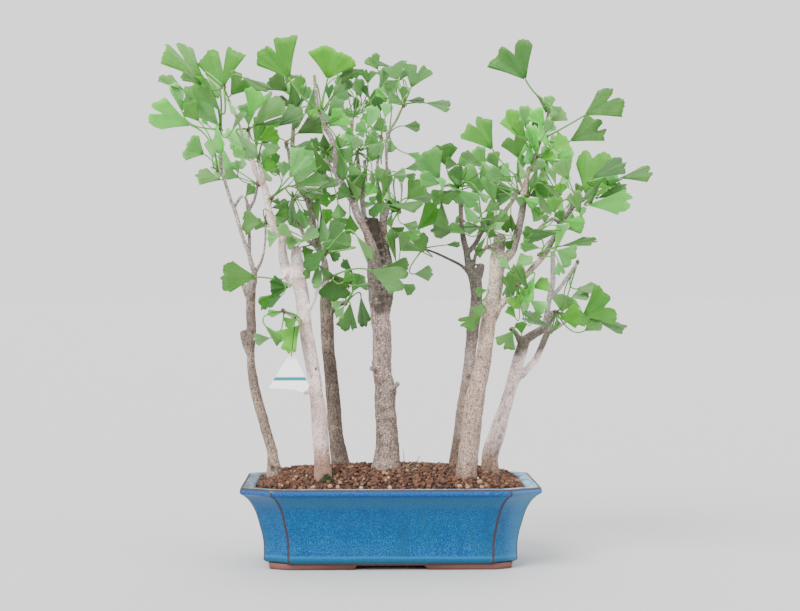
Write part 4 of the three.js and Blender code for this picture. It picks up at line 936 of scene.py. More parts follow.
# Tufts: the name and where the bud is, in millimetres from the pot's middle, then a row for
# each leaf: base u and v, edge u and v, width, notch, depth, tone by number, and a 1 if it
# turns or tips the other way. Outer leaves come first, then inner ones after an i,
# and after a y young ones that are too small for a solid of their own.
TUFTS = """
tuft_1_top -173.1 -8.1 443.6
205 82 171 45 30 .5 -22.9 4
221 92 217 49 49 .55 -18.1 4 1
219 126 188 89 36 0 -16 6 1
185 91 160 79 15 0 -1 4
y 183 112.8 175.3 83.9 13.4 0 -6 10
216.5 124 224.3 152.9 13.4 .16 -14 9
232.2 131.5 244.2 110.7 10.8 .16 -42 5 1
209.1 126.1 202.8 119.8 6.3 0 14 10 1
tuft_1_left -176.1 -10 400.9
200 122 185 106 20 0 -17.7 4 1
192 126 151 112 30 .3 .8 9 1
205 155 188 146 29 .1 1.2 6 1
222 180 197 176 17 0 -11.8 5
213 160 214 139 15 0 -24.7 6 1
y 214.1 171.1 220.5 177.5 6.3 0 -32 8 1
tuft_1_twig -128.2 18.4 349
262 222 242 221 26 .15 7.3 5
272 208 289 203 14 0 10.3 2 1
y 275.2 216.2 283.7 224.7 12 .16 -35 3 1
266.2 226.4 254.6 223.3 13.4 0 36 5
tuft_1_right -137.8 36.5 389.4
236 170 216 158 19 .2 38.4 10 1
240 178 224 173 12 0 38.8 6 1
250 160 226 132 20 0 40.2 10
246 196 254 186 14 0 47.5 5 1
238 173 238 161 12 0 45.3 8 1
i 246 152 232 142 15 0 49 11
tuft_2_shoot -166.9 -46.5 482.5
231 96 247 77 25 .3 -36.1 5
221 112 198 78 20 .1 -59.5 4 1
203 86 186 71 14 0 -70.3 2
y 242.3 77.2 268.3 92.2 13.4 0 -68 2 1
207.6 76.6 219.6 97.4 10.8 0 -28 11
228.1 101.6 235.6 114.5 6.8 0 -64 10
tuft_2_top -143.4 -26.2 442.1
250 118 257 88 19 0 -34.5 9
254 126 279 96 33 .2 -22.5 5 1
249 126 251 104 16 0 -15.9 8
259 141 277 131 19 0 -34.8 7
y 258.9 125 282.1 118.8 10.8 .1 -20 4 1
237.5 133.5 258.7 154.7 13.4 .16 -36 8
tuft_2_arm -133.8 -11.6 411.4
275 127 303 112 23 0 -9.3 3 1
262 170 275 163 19 0 -8 7 1
265 180 267 148 10 0 7.1 11
i 277 172 273 153 10 0 4 6 1
y 256 148.5 256 118.5 13.4 0 10 4 1
261.1 143.8 279.4 148.7 13.3 0 -14 6 1
248.7 160.2 232.2 150.7 8.6 .16 -2 9 1
263.1 168.6 270.6 181.5 6.8 0 -34 8
242 154.2 242 169.2 6.8 0 -34 6
tuft_2_hero -119.8 -16 373.5
289 178 310 154 35 .1 -8.3 10
292 186 330 182 15 .2 -15.6 3 1
283 178 286 162 13 0 -26.9 8
275 216 288 212 17 0 -10.8 2 1
i 290 168 282 165 8 0 7 5 1
y 280 176.5 275.5 168.7 6.3 0 -22 5
271.1 201 279.8 203.3 6.3 0 -30 3
tuft_2_node -108.4 -39.4 341.3
294 238 279 226 14 0 -49.5 5
278 237 268 238 19 0 -39.1 6
i 302 240 286 240 16 0 -43 5
tuft_2_crotch -110.5 -53.4 288.3
257 277 221 277 32 .15 -48.3 2
289 287 270 287 24 .1 -59.3 1 1
283 291 264 311 11 0 -48.7 4 1
y 282 295 268.6 308.4 8.6 .1 -75 1
tuft_2_low -106.6 -63.1 257.8
283 312 268 315 9 0 -48.9 10 1
297 319 286 326 14 0 -70.8 4
300 325 279 346 28 .3 -57.4 7
270 338 254 339 14 0 -56.5 8 1
y 264.6 324.6 276.6 345.4 10.8 0 -85 4
tuft_2_front -63.9 -76.8 316.1
328 248 305 269 17 .2 -79.2 1
329 252 338 260 12 0 -72.2 3
i 318 262 316 288 12 0 -68 6
312 262 305 278 9 0 -63 2
y 356.2 235.3 371.2 261.3 13.4 .16 -99 5 1
351.5 247 321.5 247 13.4 .1 -55 6 1
318.8 264.3 328.3 280.8 8.6 .1 -83 3 1
tuft_2_stub -59.5 -71.2 291.7
370 270 406 281 31 .15 -69.8 3 1
343 282 352 274 14 0 -81.1 4
i 335 277 334 299 34 0 -60 3
y 330.6 273.6 351.4 285.6 10.8 .16 -65 0 1
tuft_3_top -98.4 72.2 470.4
288 92 270 78 24 .1 73.7 0
290 96 284 84 13 0 83.6 10 1
294 106 274 98 17 0 72.6 0
302 98 297 76 15 0 81.4 4 1
301 103 310 88 14 0 63.1 6
y 291.2 82.6 297.4 105.8 13.4 0 40 2
305.2 114.3 295.7 130.8 8.6 .1 40 0
296.4 77 284.4 77 12 .1 40 2
tuft_3_stub -108.3 61.6 435.4
297 134 320 119 24 0 59.1 0 1
300 148 316 154 22 .1 55.9 10
278 138 262 134 20 0 68.8 1 1
i 290 149 314 144 13 0 77 1 1
tuft_3_back -101.3 88.9 376.8
299 208 305 228 20 0 93.7 6 1
306 184 329 176 14 0 98.9 2 1
312 200 330 196 22 .1 95.5 4 1
y 293.2 187 322.1 194.7 13.4 0 52 5 1
321 212.5 321 242.5 13.4 0 43 8
292 195.5 292 225.5 13.4 .25 67 3
327.5 195 335.3 199.5 9 .1 40 4 1
316.6 189.8 339.8 183.6 10.8 0 40 3 1
303 208.5 307.5 216.3 6.3 0 49 4
tuft_3_fork -77.6 52 327.8
314 250 303 254 15 0 25.5 2 1
325 226 327 209 16 0 64.6 7
324 244 346 227 33 .2 59.8 8
y 318 223.6 318 199.6 10.8 0 42 5 1
299.4 243.6 316.3 226.7 13.4 .25 34 8 1
334.5 218.3 349 222.1 6.8 0 38 6
tuft_3_right -45.1 20.7 265.5
350 303 352 331 20 .4 16.6 3
342 301 332 306 12 0 18 11 1
352 292 362 275 17 0 26.2 6
353 274 345 259 9 0 12 1 1
y 361 296.5 361 326.5 13.4 0 39 2
344.4 305.2 336.9 318.1 10.5 .25 -1 6
357.8 285.6 369.4 288.7 8.4 .25 -1 8
tuft_4_crown -69 -56.7 456.4
327.5 80 336 51 49 .12 -66.2 7 1
290 80 270 42 46 .35 -67.3 4 1
334 95 346 77 17 0 -63.4 3 1
341 85 353 69 15 0 -74.8 0 1
i 339 77 355 73 11 0 -51 4
y 329 99.8 329 84.8 10.5 .25 -79 1 1
314.5 87 306.7 115.9 13.4 0 -51 8 1
317 108.5 312.5 116.3 11.7 0 -79 7 1
320.2 109.2 330.8 119.8 6.8 0 -63 8
tuft_4_fork -65.2 -48 445.5
329 127 343 111 23 .1 -38.8 9
327 118 343 102 18 0 -40.6 8
330 104 346 89 18 0 -28.8 8
i 350 90 338 76 14 0 -24 6 1
353 97 334 90 15 0 -9 1
y 323.3 133.5 327.1 148 10.5 .25 -70 0 1
339.1 126 347.8 128.3 6.3 0 -54 5 1
335.1 135.6 342.6 148.5 10.5 .25 -42 6
tuft_4_left -65.2 -32.4 416.1
320 152 310 140 16 0 -38.8 3 1
338 203 341 218 15 0 -16 6 1
i 338 138 326 161 22 0 -8 5
353 147 341 158 18 0 -8 6
352 196 338 190 18 0 -33 3 1
366 175 348 177 20 .1 -23 6 1
y 313.2 147.1 328.2 173.1 13.4 .1 -54 2
338.5 150 346.3 178.9 13.4 .16 -54 3
316.7 140.6 326.2 157 8.6 .1 -22 1
316.4 169.6 295.6 181.6 10.8 .16 -54 3
tuft_4_middle -38.1 28.7 460
357 97 357 79 13 0 22.3 3 1
368 84 367 70 17 .3 33.3 3
378 70 371 55 17 .2 31.6 5 1
i 361 98 356 82 14 0 38 8 1
354 117 356 98 7 0 38 1
y 369.9 99.4 362.4 86.5 6.8 0 23 5 1
354.1 69.1 360.5 75.5 11.7 .1 7 3
364.9 109.1 371.2 102.8 11.7 0 31 5 1
356.5 116.7 342 112.9 10.5 .25 15 8 1
tuft_4_inner -33.4 -12.3 419.7
366 196 374 184 16 0 -17.7 9
350 214 351 234 14 0 21.5 4
366 146 376 160 16 .1 -16.5 3 1
i 352 150 345 133 16 0 3 10 1
353 151 358 137 14 0 -27 8
368 133 357 124 14 0 -12 10 1
384 143 369 154 12 0 -32 8 1
354 136 347 129 8 0 -22 10 1
y 367.5 166 359.7 194.9 13.4 .1 -18 5 1
372 169.2 372 184.2 6.8 0 -34 5 1
356.1 135 364.8 132.7 6.3 0 10 11
346.2 179.5 358.2 200.3 10.8 0 -34 5
tuft_4_back -8.1 42.6 439.2
380 113 377 96 20 .1 52.9 1
385 118 387 103 14 0 43.1 10
371 126 364 114 13 0 40.8 9 1
371 130 387 124 17 .2 57.5 5 1
379 144 367 136 19 0 31.4 6 1
381 160 380 142 13 0 20.9 8 1
i 368 100 379 91 10 0 62 5
y 367.2 129.5 379.2 108.7 13.4 0 21 10
tuft_4_node -1.4 -18 439
391 101 389 81 20 0 -23.3 8 1
389 140 392 152 11 0 -14.2 8
404 126 420 127 13 0 -15.6 3 1
y 406.5 153.3 421 157.1 6.8 0 4 10
tuft_4_right 13.5 -34.6 466.4
398 80 391 63 34 .15 -11.1 3
411 88 420 64 30 .45 -35.2 3 1
403 100 404 86 13 0 -43.4 11 1
407 101 424 100 10 0 -35.7 0 1
426 103 451 106 16 .3 -24.1 3 1
i 400 80 384 85 8 0 -41 8 1
402 99 405 87 9 0 -51 3 1
402 103 389 96 13 0 -56 3
y 390.4 66.5 375.9 62.6 6.8 0 -37 1
399.1 80.8 405.1 70.4 8.4 0 -57 1 1
379.8 89.9 384.7 71.6 8.6 0 -29 3 1
387.9 98.9 377.3 88.3 6.8 0 -45 9 1
tuft_4_side 9.6 -5.1 360.3
407 200 421 182 23 .2 -14.6 2 1
405 169 419 166 7 0 -15.6 8
403 224 417 229 12 0 -14.4 8
388 205 423 201 8 0 -28.5 3 1
390 175 374 175 14 0 0 11 1
392 175 406 176 14 0 -22.4 8
i 390 172 376 176 12 0 9 3 1
378 182 385 203 8 0 -1 5 1
378 195 371 203 8 0 29 10 1
379 200 375 218 11 0 29 6 1
386 200 399 207 14 0 -6 1 1
392 213 391 226 8 0 14 11
391 227 401 236 14 0 34 5
y 383 198.8 390.7 169.9 13.4 .16 -19 5
408.4 198 432.4 198 13.4 .16 9 3 1
386.9 201.6 379.4 214.5 10.5 .25 -27 3
403.8 174.6 415.4 177.7 8.4 .16 17 8
397.2 233 421.2 233 10.8 .25 17 9
390.1 200.1 383.8 193.8 9 .1 -11 11
376.5 203.3 362 207.1 6.8 0 5 6
tuft_4_spur 9.1 -15.4 286.2
386 266 409 267 19 .1 -20.5 5
402 284 414 291 14 0 1.3 3 1
400 252 403 233 13 0 -7.8 5
396 262 394 229 10 0 -4.8 5
tuft_5_twig 38.4 92.7 323.3
417 230 440 206 25 .1 85.5 7
410 240 428 241 21 0 77.8 5 1
414 274 433 273 15 .1 85 8
446 245 460 244 7 0 81.5 4 1
y 422.5 251.8 401.7 239.8 13.4 .1 40 5
tuft_5_top 74.4 76.2 389.4
446 166 442 144 30 .1 76 2 1
440 180 422 153 31 .1 67.7 6 1
441 184 420 176 19 0 59.7 10 1
459 189 451 169 16 0 83.5 6 1
462 190 456 203 14 0 64.7 8 1
448 191 431 198 17 0 89 8 1
i 480 163 461 156 15 0 66 2
463 203 476 221 14 0 86 10 1
462 197 468 207 9 0 101 2 1
462 181 453 168 16 0 56 3
y 465 188.5 436.1 196.3 13.4 .25 40 2
441 200.2 448.7 229.1 13.4 0 40 5 1
457.4 164 445.4 164 13.4 0 40 3
453.3 188.2 479.3 203.2 13.4 .16 40 10
457.5 165 465.3 160.5 11.7 0 40 6
442.7 192.5 438.9 178 6.8 0 40 10 1
477.6 190.2 485.1 203.1 6.8 0 40 11
tuft_5_bend 102.1 84 346.3
479 197 475 163 36 .5 81.7 6 1
462 227 432 229 15 0 88.5 5 1
510 232 497 219 17 0 93.9 11
i 476 201 471 192 9 0 74 1
484 212 499 204 13 0 69 5 1
483 224 494 212 11 0 89 7
466 222 456 218 9 0 94 8 1
482 227 464 228 14 0 94 8
482 232 503 221 10 0 109 5 1
487 249 475 252 12 0 84 5
y 495 203.8 487.3 174.9 13.4 .1 40 6 1
504.7 213.2 478.7 228.2 13.4 0 66 5 1
466.4 234.3 450 224.8 13.3 .1 62 6
485.9 236.6 478.4 249.5 6.8 0 40 4 1
479.9 214.1 475.4 206.3 6.3 0 40 8 1
481.7 220.5 473 222.8 6.3 0 40 11 1
tuft_5_right 141.6 96.5 384.7
486 168 472 150 26 .1 95.6 6 1
498 168 490 153 15 0 95 5 1
512 182 496 169 21 0 104.5 8 1
514 190 495 193 19 0 111.5 3 1
i 497 178 510 170 10 0 81 10
484 160 495 156 8 0 111 1
y 511 213.4 511 232.4 13.3 .25 -39 0
518.4 191.6 497.6 203.6 10.8 .1 40 3
514.3 197.3 524.7 203.3 12 0 -32 3 1
tuft_6_spur 96.4 -55.4 322.4
511 270 500 260 12 0 -64.6 6
497 222 508 214 16 0 -55.2 5
i 498 236 489 232 10 0 -64 0
514 240 506 247 10 0 -54 2 1
tuft_6_low 89.8 -53.3 265.8
485 312 461 325 15 .3 -52.6 2
487 290 476 291 10 0 -57.1 6 1
y 483.4 303.2 475.9 316.1 13.4 .25 -75 3
tuft_6_back 130.5 -22.4 393.3
493 150 474 120 38 .2 -10.6 4
518 158 513 136 26 .2 -33.1 2 1
505 176 490 176 17 0 -30.3 3
i 518 160 522 141 15 0 -19 9 1
522 170 524 155 10 0 -14 6 1
y 519.5 163.6 523.4 178.1 6.8 0 -44 8
516.1 173.9 520.6 181.7 6.3 0 -28 5 1
tuft_6_cut 141.5 -19 375.5
530 196 548 184 20 0 -8.9 4
525 198 536 207 13 0 -34.6 9
530 206 544 215 19 0 -13.4 6 1
548 213 557 197 17 0 -19.2 6
i 548 160 570 170 15 0 19 9
534 186 548 176 13 0 14 11
557 196 538 189 15 0 19 1
y 535.2 189.3 550.2 215.3 13.4 .25 -21 5 1
542.6 183.6 563.4 195.6 13.4 .1 -33 2 1
tuft_6_shoot 152.1 -12 416.3
519 139 510 110 17 0 -4.2 7 1
527 130 523 106 13 0 -3.8 6 1
534 136 538 121 14 0 4.5 1
541 161 554 153 13 0 -17.1 7 1
556 184 553 167 11 0 3.4 6
559 185 566 171 11 0 -27.9 11
i 541 163 553 149 19 0 -7 11 1
549 149 558 137 13 0 8 11
551 158 573 150 17 0 3 9 1
532 172 546 163 11 0 -27 8
y 538.5 154 530.7 125.1 13.4 0 -22 9 1
537.8 165.6 531.6 188.8 10.8 0 -10 6 1
547 154.4 547 173.4 8.6 0 -10 11
tuft_6_tip 164.2 -12 467.8
526 80 508 45 46 .3 -17.4 3 1
545 126 534 109 18 0 -27.6 9 1
550 110 547 96 15 0 -18.3 6
549 122 564 110 14 0 -3.7 5 1
y 537.7 96.6 547.2 113 8.6 .1 -10 3 1
550.2 105.2 558.7 113.7 13.4 0 -30 8
538.5 117 546.3 145.9 13.4 0 -22 9 1
tuft_6_high 157.1 -12 433.9
545 134 553 121 13 0 -42.2 6
585 115 619 94 36 .35 -22.5 2 1
570 141 604 126 30 .2 -3.1 2 1
552 148 568 140 20 0 -20.4 7 1
y 526 142.1 519.8 118.9 10.8 0 -30 4 1
530 140.4 530 164.4 13.4 .1 -22 10 1
549.9 132.1 556.2 125.8 6.3 0 -10 10
552.5 148 560.3 152.5 6.3 0 -2 9 1
tuft_6_right 182.5 -74.4 370.7
569 180 559 160 25 .1 -76.2 5
586 195 595 151 38 .15 -73 4 1
572 210 570 225 11 0 -63.6 10
i 560 196 561 183 14 0 -74 7
577 200 578 183 11 0 -84 5
574 210 587 208 7 0 -49 10
566 221 584 226 17 0 -79 9
y 580.8 213.4 574.6 190.2 13.4 .25 -96 5 1
570.1 188.1 563.8 181.8 6.3 0 -52 11 1
562.9 201.9 558.4 209.7 9 0 -68 6
tuft_6_end 211.9 -90.7 379.8
592 178 625 161 18 .1 -116.5 1 1
620 178 652 171 17 .1 -77.1 2 1
598 198 627 186 13 0 -93.6 5
588 205 632 199 22 .1 -89.3 9
y 591.5 181 621.5 181 13.4 .16 -97 10
603.5 180.5 582.3 201.7 13.4 .25 -105 5 1
611.2 186.6 599.6 189.7 12 .25 -113 7 1
tuft_6_side 148.9 -63.1 315
568 229 584 225 18 0 -51.8 6
561 246 596 242 9 0 -68.1 3 1
557 250 575 259 26 .1 -74.7 6
y 554.2 253.9 569.2 227.9 13.4 0 -65 9
558.5 260.6 562.4 275.1 10.5 .25 -41 10
tuft_6_front 142.7 -93.1 337.1
540 232 523 233 16 0 -82.4 5 1
540 248 521 245 12 0 -80.9 6 1
i 555 213 553 197 16 0 -92 4 1
563 222 558 211 10 0 -102 2 1
y 558 232.5 529.1 240.3 13.4 .1 -115 3 1
545 222.8 545 213.8 9 .16 -107 3 1
554.2 225 569.2 225 6.8 0 -115 10
tuft_6_inner 127.3 -52.9 284.2
514 270 531 256 13 0 -51.8 6 1
514 297 509 273 13 0 -76.9 2 1
530 300 545 312 15 .1 -50.6 10
521 294 512 307 17 0 -62.4 7 1
532 288 549 281 15 0 -48.2 7 1
i 533 322 538 312 12 0 -52 5
516 318 510 306 11 0 -52 4
y 528.8 289.9 513.8 263.9 13.4 .16 -63 5 1
535 275.2 527.3 304.1 13.4 .1 -55 9
508.5 282.6 504.6 297.1 10.5 .25 -55 8 1
tuft_7_left 126.6 7.5 238.6
513 331 503 348 21 .3 -.6 5
522 334 521 322 14 0 -1.3 4
526 316 524 300 11 0 6.6 8 1
tuft_7_high 197.9 34.8 307.1
576 289 601 291 14 0 27.6 5 1
562 312 567 294 29 .1 31.4 5
571 298 589 293 14 0 31.8 8 1
tuft_7_tip 170.6 -13.1 256.4
583 316 613 302 44 .3 -3.7 4 1
560 318 582 316 27 .1 -17.3 7
585 331 601 322 17 0 -7.5 5 1
i 595 320 626 327 12 0 3 3 1
553 332 558 320 8 0 -7 4
y 550 326.5 521.1 318.7 13.4 .25 -27 3
580.8 309.1 585.7 327.4 13.3 .25 -35 4 1
"""


def read_table(text: str) -> dict[str, dict[str, list]]:
    """Reads a table of named headings, each over rows of numbers.

    A word before a row is its kind and that of the rows after it, up to the next word or
    heading. A line that starts with a space goes on with the row above it.

    Args:
        text: The table.

    Returns:
        For each heading, its own numbers under "head" and the rows of each kind.
    """
    table: dict[str, dict[str, list]] = {}
    for line in text.strip().replace("\n  ", " ").split("\n"):
        words = line.split()
        if words[0][0].isalpha():
            kind = words.pop(0)
        numbers = [float(word) for word in words]
        if "_" in kind:
            rows = table[kind] = defaultdict(list, head=numbers)
            kind = ""
        else:
            rows[kind].append(numbers)
    return table


# ---- pot, screens and soil


def pot_plan(inset: Array, height: Array) -> tuple[Array, Array]:
    """The pot's plan at several heights: a rectangle with cut and softly rounded corners.

    Each corner is a quadratic Bezier round it, and each side between two corners is
    straight, a + (b - a) s.

    Args:
        inset: How far each ring stands in from the rim's edge.
        height: Height of each ring.

    Returns:
        Points by ring, anticlockwise from above, and how much of a ridge each one is.
    """
    x, y = Pot.length / 2 - inset, Pot.depth / 2 - inset
    cut_x, cut_y = (cut * (1 - inset * Pot.corner_shrink) for cut in Pot.corner_cut)
    flat = [
        (x, -y + cut_y), (x, y - cut_y), (x - cut_x, y), (-x + cut_x, y),
        (-x, y - cut_y), (-x, -y + cut_y), (-x + cut_x, -y), (x - cut_x, -y),
    ]
    corners = np.stack([np.stack(pair, axis=-1) for pair in flat], axis=1)
    before = corners + unit(np.roll(corners, 1, axis=1) - corners) * Pot.rounding
    after = corners + unit(np.roll(corners, -1, axis=1) - corners) * Pot.rounding
    t = np.linspace(0, 1, Pot.corner_points)[:, None]
    bends = bend(before[:, :, None], corners[:, :, None], after[:, :, None], t)
    crest = np.sin(math.pi * t[:, 0]) ** 2
    s = np.linspace(0, 1, Pot.side_points + 2)[1:-1, None]
    sides = after[:, :, None] + (np.roll(before, -1, axis=1) - after)[:, :, None] * s
    ring = np.concatenate([bends, sides], axis=2).reshape(len(inset), -1, 2)
    along = np.tile(np.r_[crest, np.zeros(Pot.side_points)], 8)
    heights = np.broadcast_to(height[:, None, None], (*ring.shape[:2], 1))
    return np.concatenate([ring, heights], axis=2), np.broadcast_to(along, ring.shape[:2])


@dataclass
class Pot:
    """The glazed pot: a flared wall with ridged corners and a broad flat rim, on four feet."""

    length: float = 300.0
    depth: float = 190.0
    corner_cut: Pair = (32, 20)
    corner_shrink: float = 0.009
    rounding: float = 4.2
    corner_points: int = 9
    side_points: int = 9
    rim_width: float = 14.0
    floor: float = 14.0
    # The outer wall from the underside up: height, inset from the rim's edge.
    wall: tuple[Pair, ...] = (
        (5.2, 28.6), (7, 25.6), (8.6, 23.6), (10.4, 22.9), (12.6, 22.8), (17, 22.7), (27, 22.4), (36, 21),
        (45, 18.7), (54, 16.3), (62, 13.4), (69, 9.4), (73.4, 5.6), (75.6, 3.2), (76.8, 1.4), (77.8, 0.45),
        (79.4, 0.05), (81, 0.1), (82.1, 0.5), (82.8, 1.3), (83, 2.6),
    )
    foot_reach: Pair = (84, 46)
    foot_width: float = 15.0
    foot_inset: float = 29.0
    foot_top: float = 6.4
    foot_slope: float = 4.0
    foot_corner: Pair = (16, 9)
    drains: Pair = (-62, 62)
    drain_radius: float = 11.0

    def body(self) -> Shell:
        """The wall, rim, inside and floor as one profile carried round the plan.

        Returns:
            A closed surface that carries ridge, ledge and clay.
        """
        outer = smooth_line(np.array(self.wall), 3)
        w = self.rim_width
        inner = np.array([
            (83, 5.5), (82.9, 9.5), (82.6, 12.2), (81.6, 13.6), (80, 14.1), (76, 14.6), (60, w + 3),
            (45, w + 8.5), (30, w + 14), (19, w + 18), (15, w + 20.5), (self.floor, w + 25),
        ])
        under = np.array([(4.0, 60.0), (4.0, 34.0), (4.1, 31.0)])
        profile = np.r_[under, outer, inner, [(self.floor, 70)]]
        height, inset = profile.T
        span = len(under) + len(outer)
        outside = (np.arange(len(profile)) < span) & (height > 6)
        knob = np.exp(-(((height - 9.5) / 2.6) ** 2)) + 0.8 * np.exp(-(((height - 76.5) / 2.4) ** 2))
        ridge = np.where(outside & (height < 81), 0.35 + 0.9 * knob, 0)
        rings, crest = pot_plan(inset, height)
        outward = unit(rings * [1, 1.6, 0])
        rings = rings + outward * (crest * ridge[:, None])[..., None]
        grit = Grit(5)
        swell = grit.at(rings, 46) * 0.35 + grit.at(rings, 13) * 0.12
        rings = rings + outward * (swell * outside[:, None])[..., None]
        shell = barrel(rings, UP * height[0], UP * height[-1])
        lip = np.where(np.arange(len(profile)) < span, np.exp(-(((height - 82.2) / 1.4) ** 2)), 0)
        foot_line = np.exp(-(((height - 6.2) / 0.9) ** 2)) * outside
        keen = crest**2 * (outside & (height < 81.5))[:, None]
        thin = np.maximum(keen, np.maximum(lip, foot_line)[:, None])
        within = np.arange(len(profile)) >= span - 4
        ledge = within * (height > 77)
        bare = np.where(~outside & (height < 7), 1, 0) + 0.9 * (within & (height < 70))
        looks = ("ridge", thin, 0), ("ledge", ledge[:, None], 0), ("clay", bare[:, None], 1)
        for key, value, pole in looks:
            spread = np.broadcast_to(value, crest.shape).ravel().astype(float)
            shell.values[key] = np.r_[spread, (pole, pole)]
        return shell

    def foot(self, sign_x: int, sign_y: int) -> Shell:
        """One foot: an angle of clay under a corner, narrower at the ground.

        Args:
            sign_x: Side of the pot along X, 1 or -1.
            sign_y: Side of the pot along Y, 1 or -1.

        Returns:
            A closed surface.
        """
        x = self.length / 2 - self.foot_inset
        y = self.depth / 2 - self.foot_inset
        cx, cy = self.foot_corner
        reach_x, reach_y = self.foot_reach
        slope, width = self.foot_slope, self.foot_width
        outline = np.array([
            (x, y - reach_y), (x, y - cy), (x - cx, y), (x - reach_x, y), (x - reach_x + slope, y - width),
            (x - cx - 4, y - width), (x - width, y - cy - 6), (x - width, y - reach_y + slope),
        ])
        # Height, how far each corner moves inwards, how far the foot's two ends move in.
        taper = ((0, 1.2, 0.5), (0.9, 0, 0), (self.foot_top, -1.2, -4))
        ways = unit(np.array([x - width, y - width]) - outline)
        ends = np.zeros((8, 2))
        ends[[3, 4], 0] = ends[[0, 7], 1] = 1
        rings = np.stack([
            np.c_[outline + ways * inward + ends * end, np.full(8, z)] for z, inward, end in taper
        ])
        # A mirrored foot runs the other way round, so that its faces still point outwards.
        rings = (rings * [sign_x, sign_y, 1])[:, :: sign_x * sign_y]
        inner = np.array([sign_x * (x - 7.5), sign_y * (y - 12.0)])
        shell = barrel(rings, np.array([*inner, 0.0]), np.array([*inner, self.foot_top]))
        return shell.carrying(ridge=0, ledge=0, clay=1)

    def build(self) -> None:
        """Joins the body and feet, drills the drain holes, and glazes the pot."""
        shells = [self.body(), *(self.foot(*signs) for signs in product((-1, 1), (-1, 1)))]
        mesh = fill_mesh("glazed_pot", Shell.joined(shells))
        radii, heights = np.full(3, self.drain_radius), (-8.0, 4.0, 24.0)
        drills = [tube(np.array([[x, 0, z] for z in heights]), radii, 40, RIGHT) for x in self.drains]
        drill = shown("drill", fill_mesh("drill", Shell.joined(drills)))
        mesh = worked(mesh, [("BOOLEAN", {"object": drill, "operation": "DIFFERENCE", "solver": "EXACT"})])
        bpy.data.objects.remove(drill)
        add_piece(mesh, Glaze().material(), ("pot",))


@dataclass
class DrainScreens:
    """Two squares of plastic mesh over the drain holes."""

    size: float = 34.0
    thick: float = 1.2
    cell: float = 3.4
    strand: float = 0.55
    height: float = 14.95

    def build(self) -> None:
        """Lays strands both ways over each hole, one way just above the other."""
        dark, light = (0.012, 0.014, 0.013), (0.03, 0.034, 0.031)
        finish = Plain("screen_plastic", dark, light, 700, 0.5, 0.0002).material()
        offsets = np.arange(-self.size / 2 + 0.6, self.size / 2, self.cell)
        for number, x in enumerate(Pot.drains, 1):
            strands = []
            for offset, swap in product(offsets, (False, True)):
                ends = np.array([(-self.size / 2, offset), (0, offset), (self.size / 2, offset)])
                ends = ends[:, ::-1] if swap else ends
                level = np.full(3, self.height + (0.3 if swap else -0.3))
                strands.append(tube(np.c_[ends + [x, 0], level], np.full(3, self.strand), 6, UP))
            mesh = fill_mesh(f"drain_screen_weave_{number}", Shell.joined(strands))
            add_piece(mesh, finish, (f"drain_screen_{number}",))


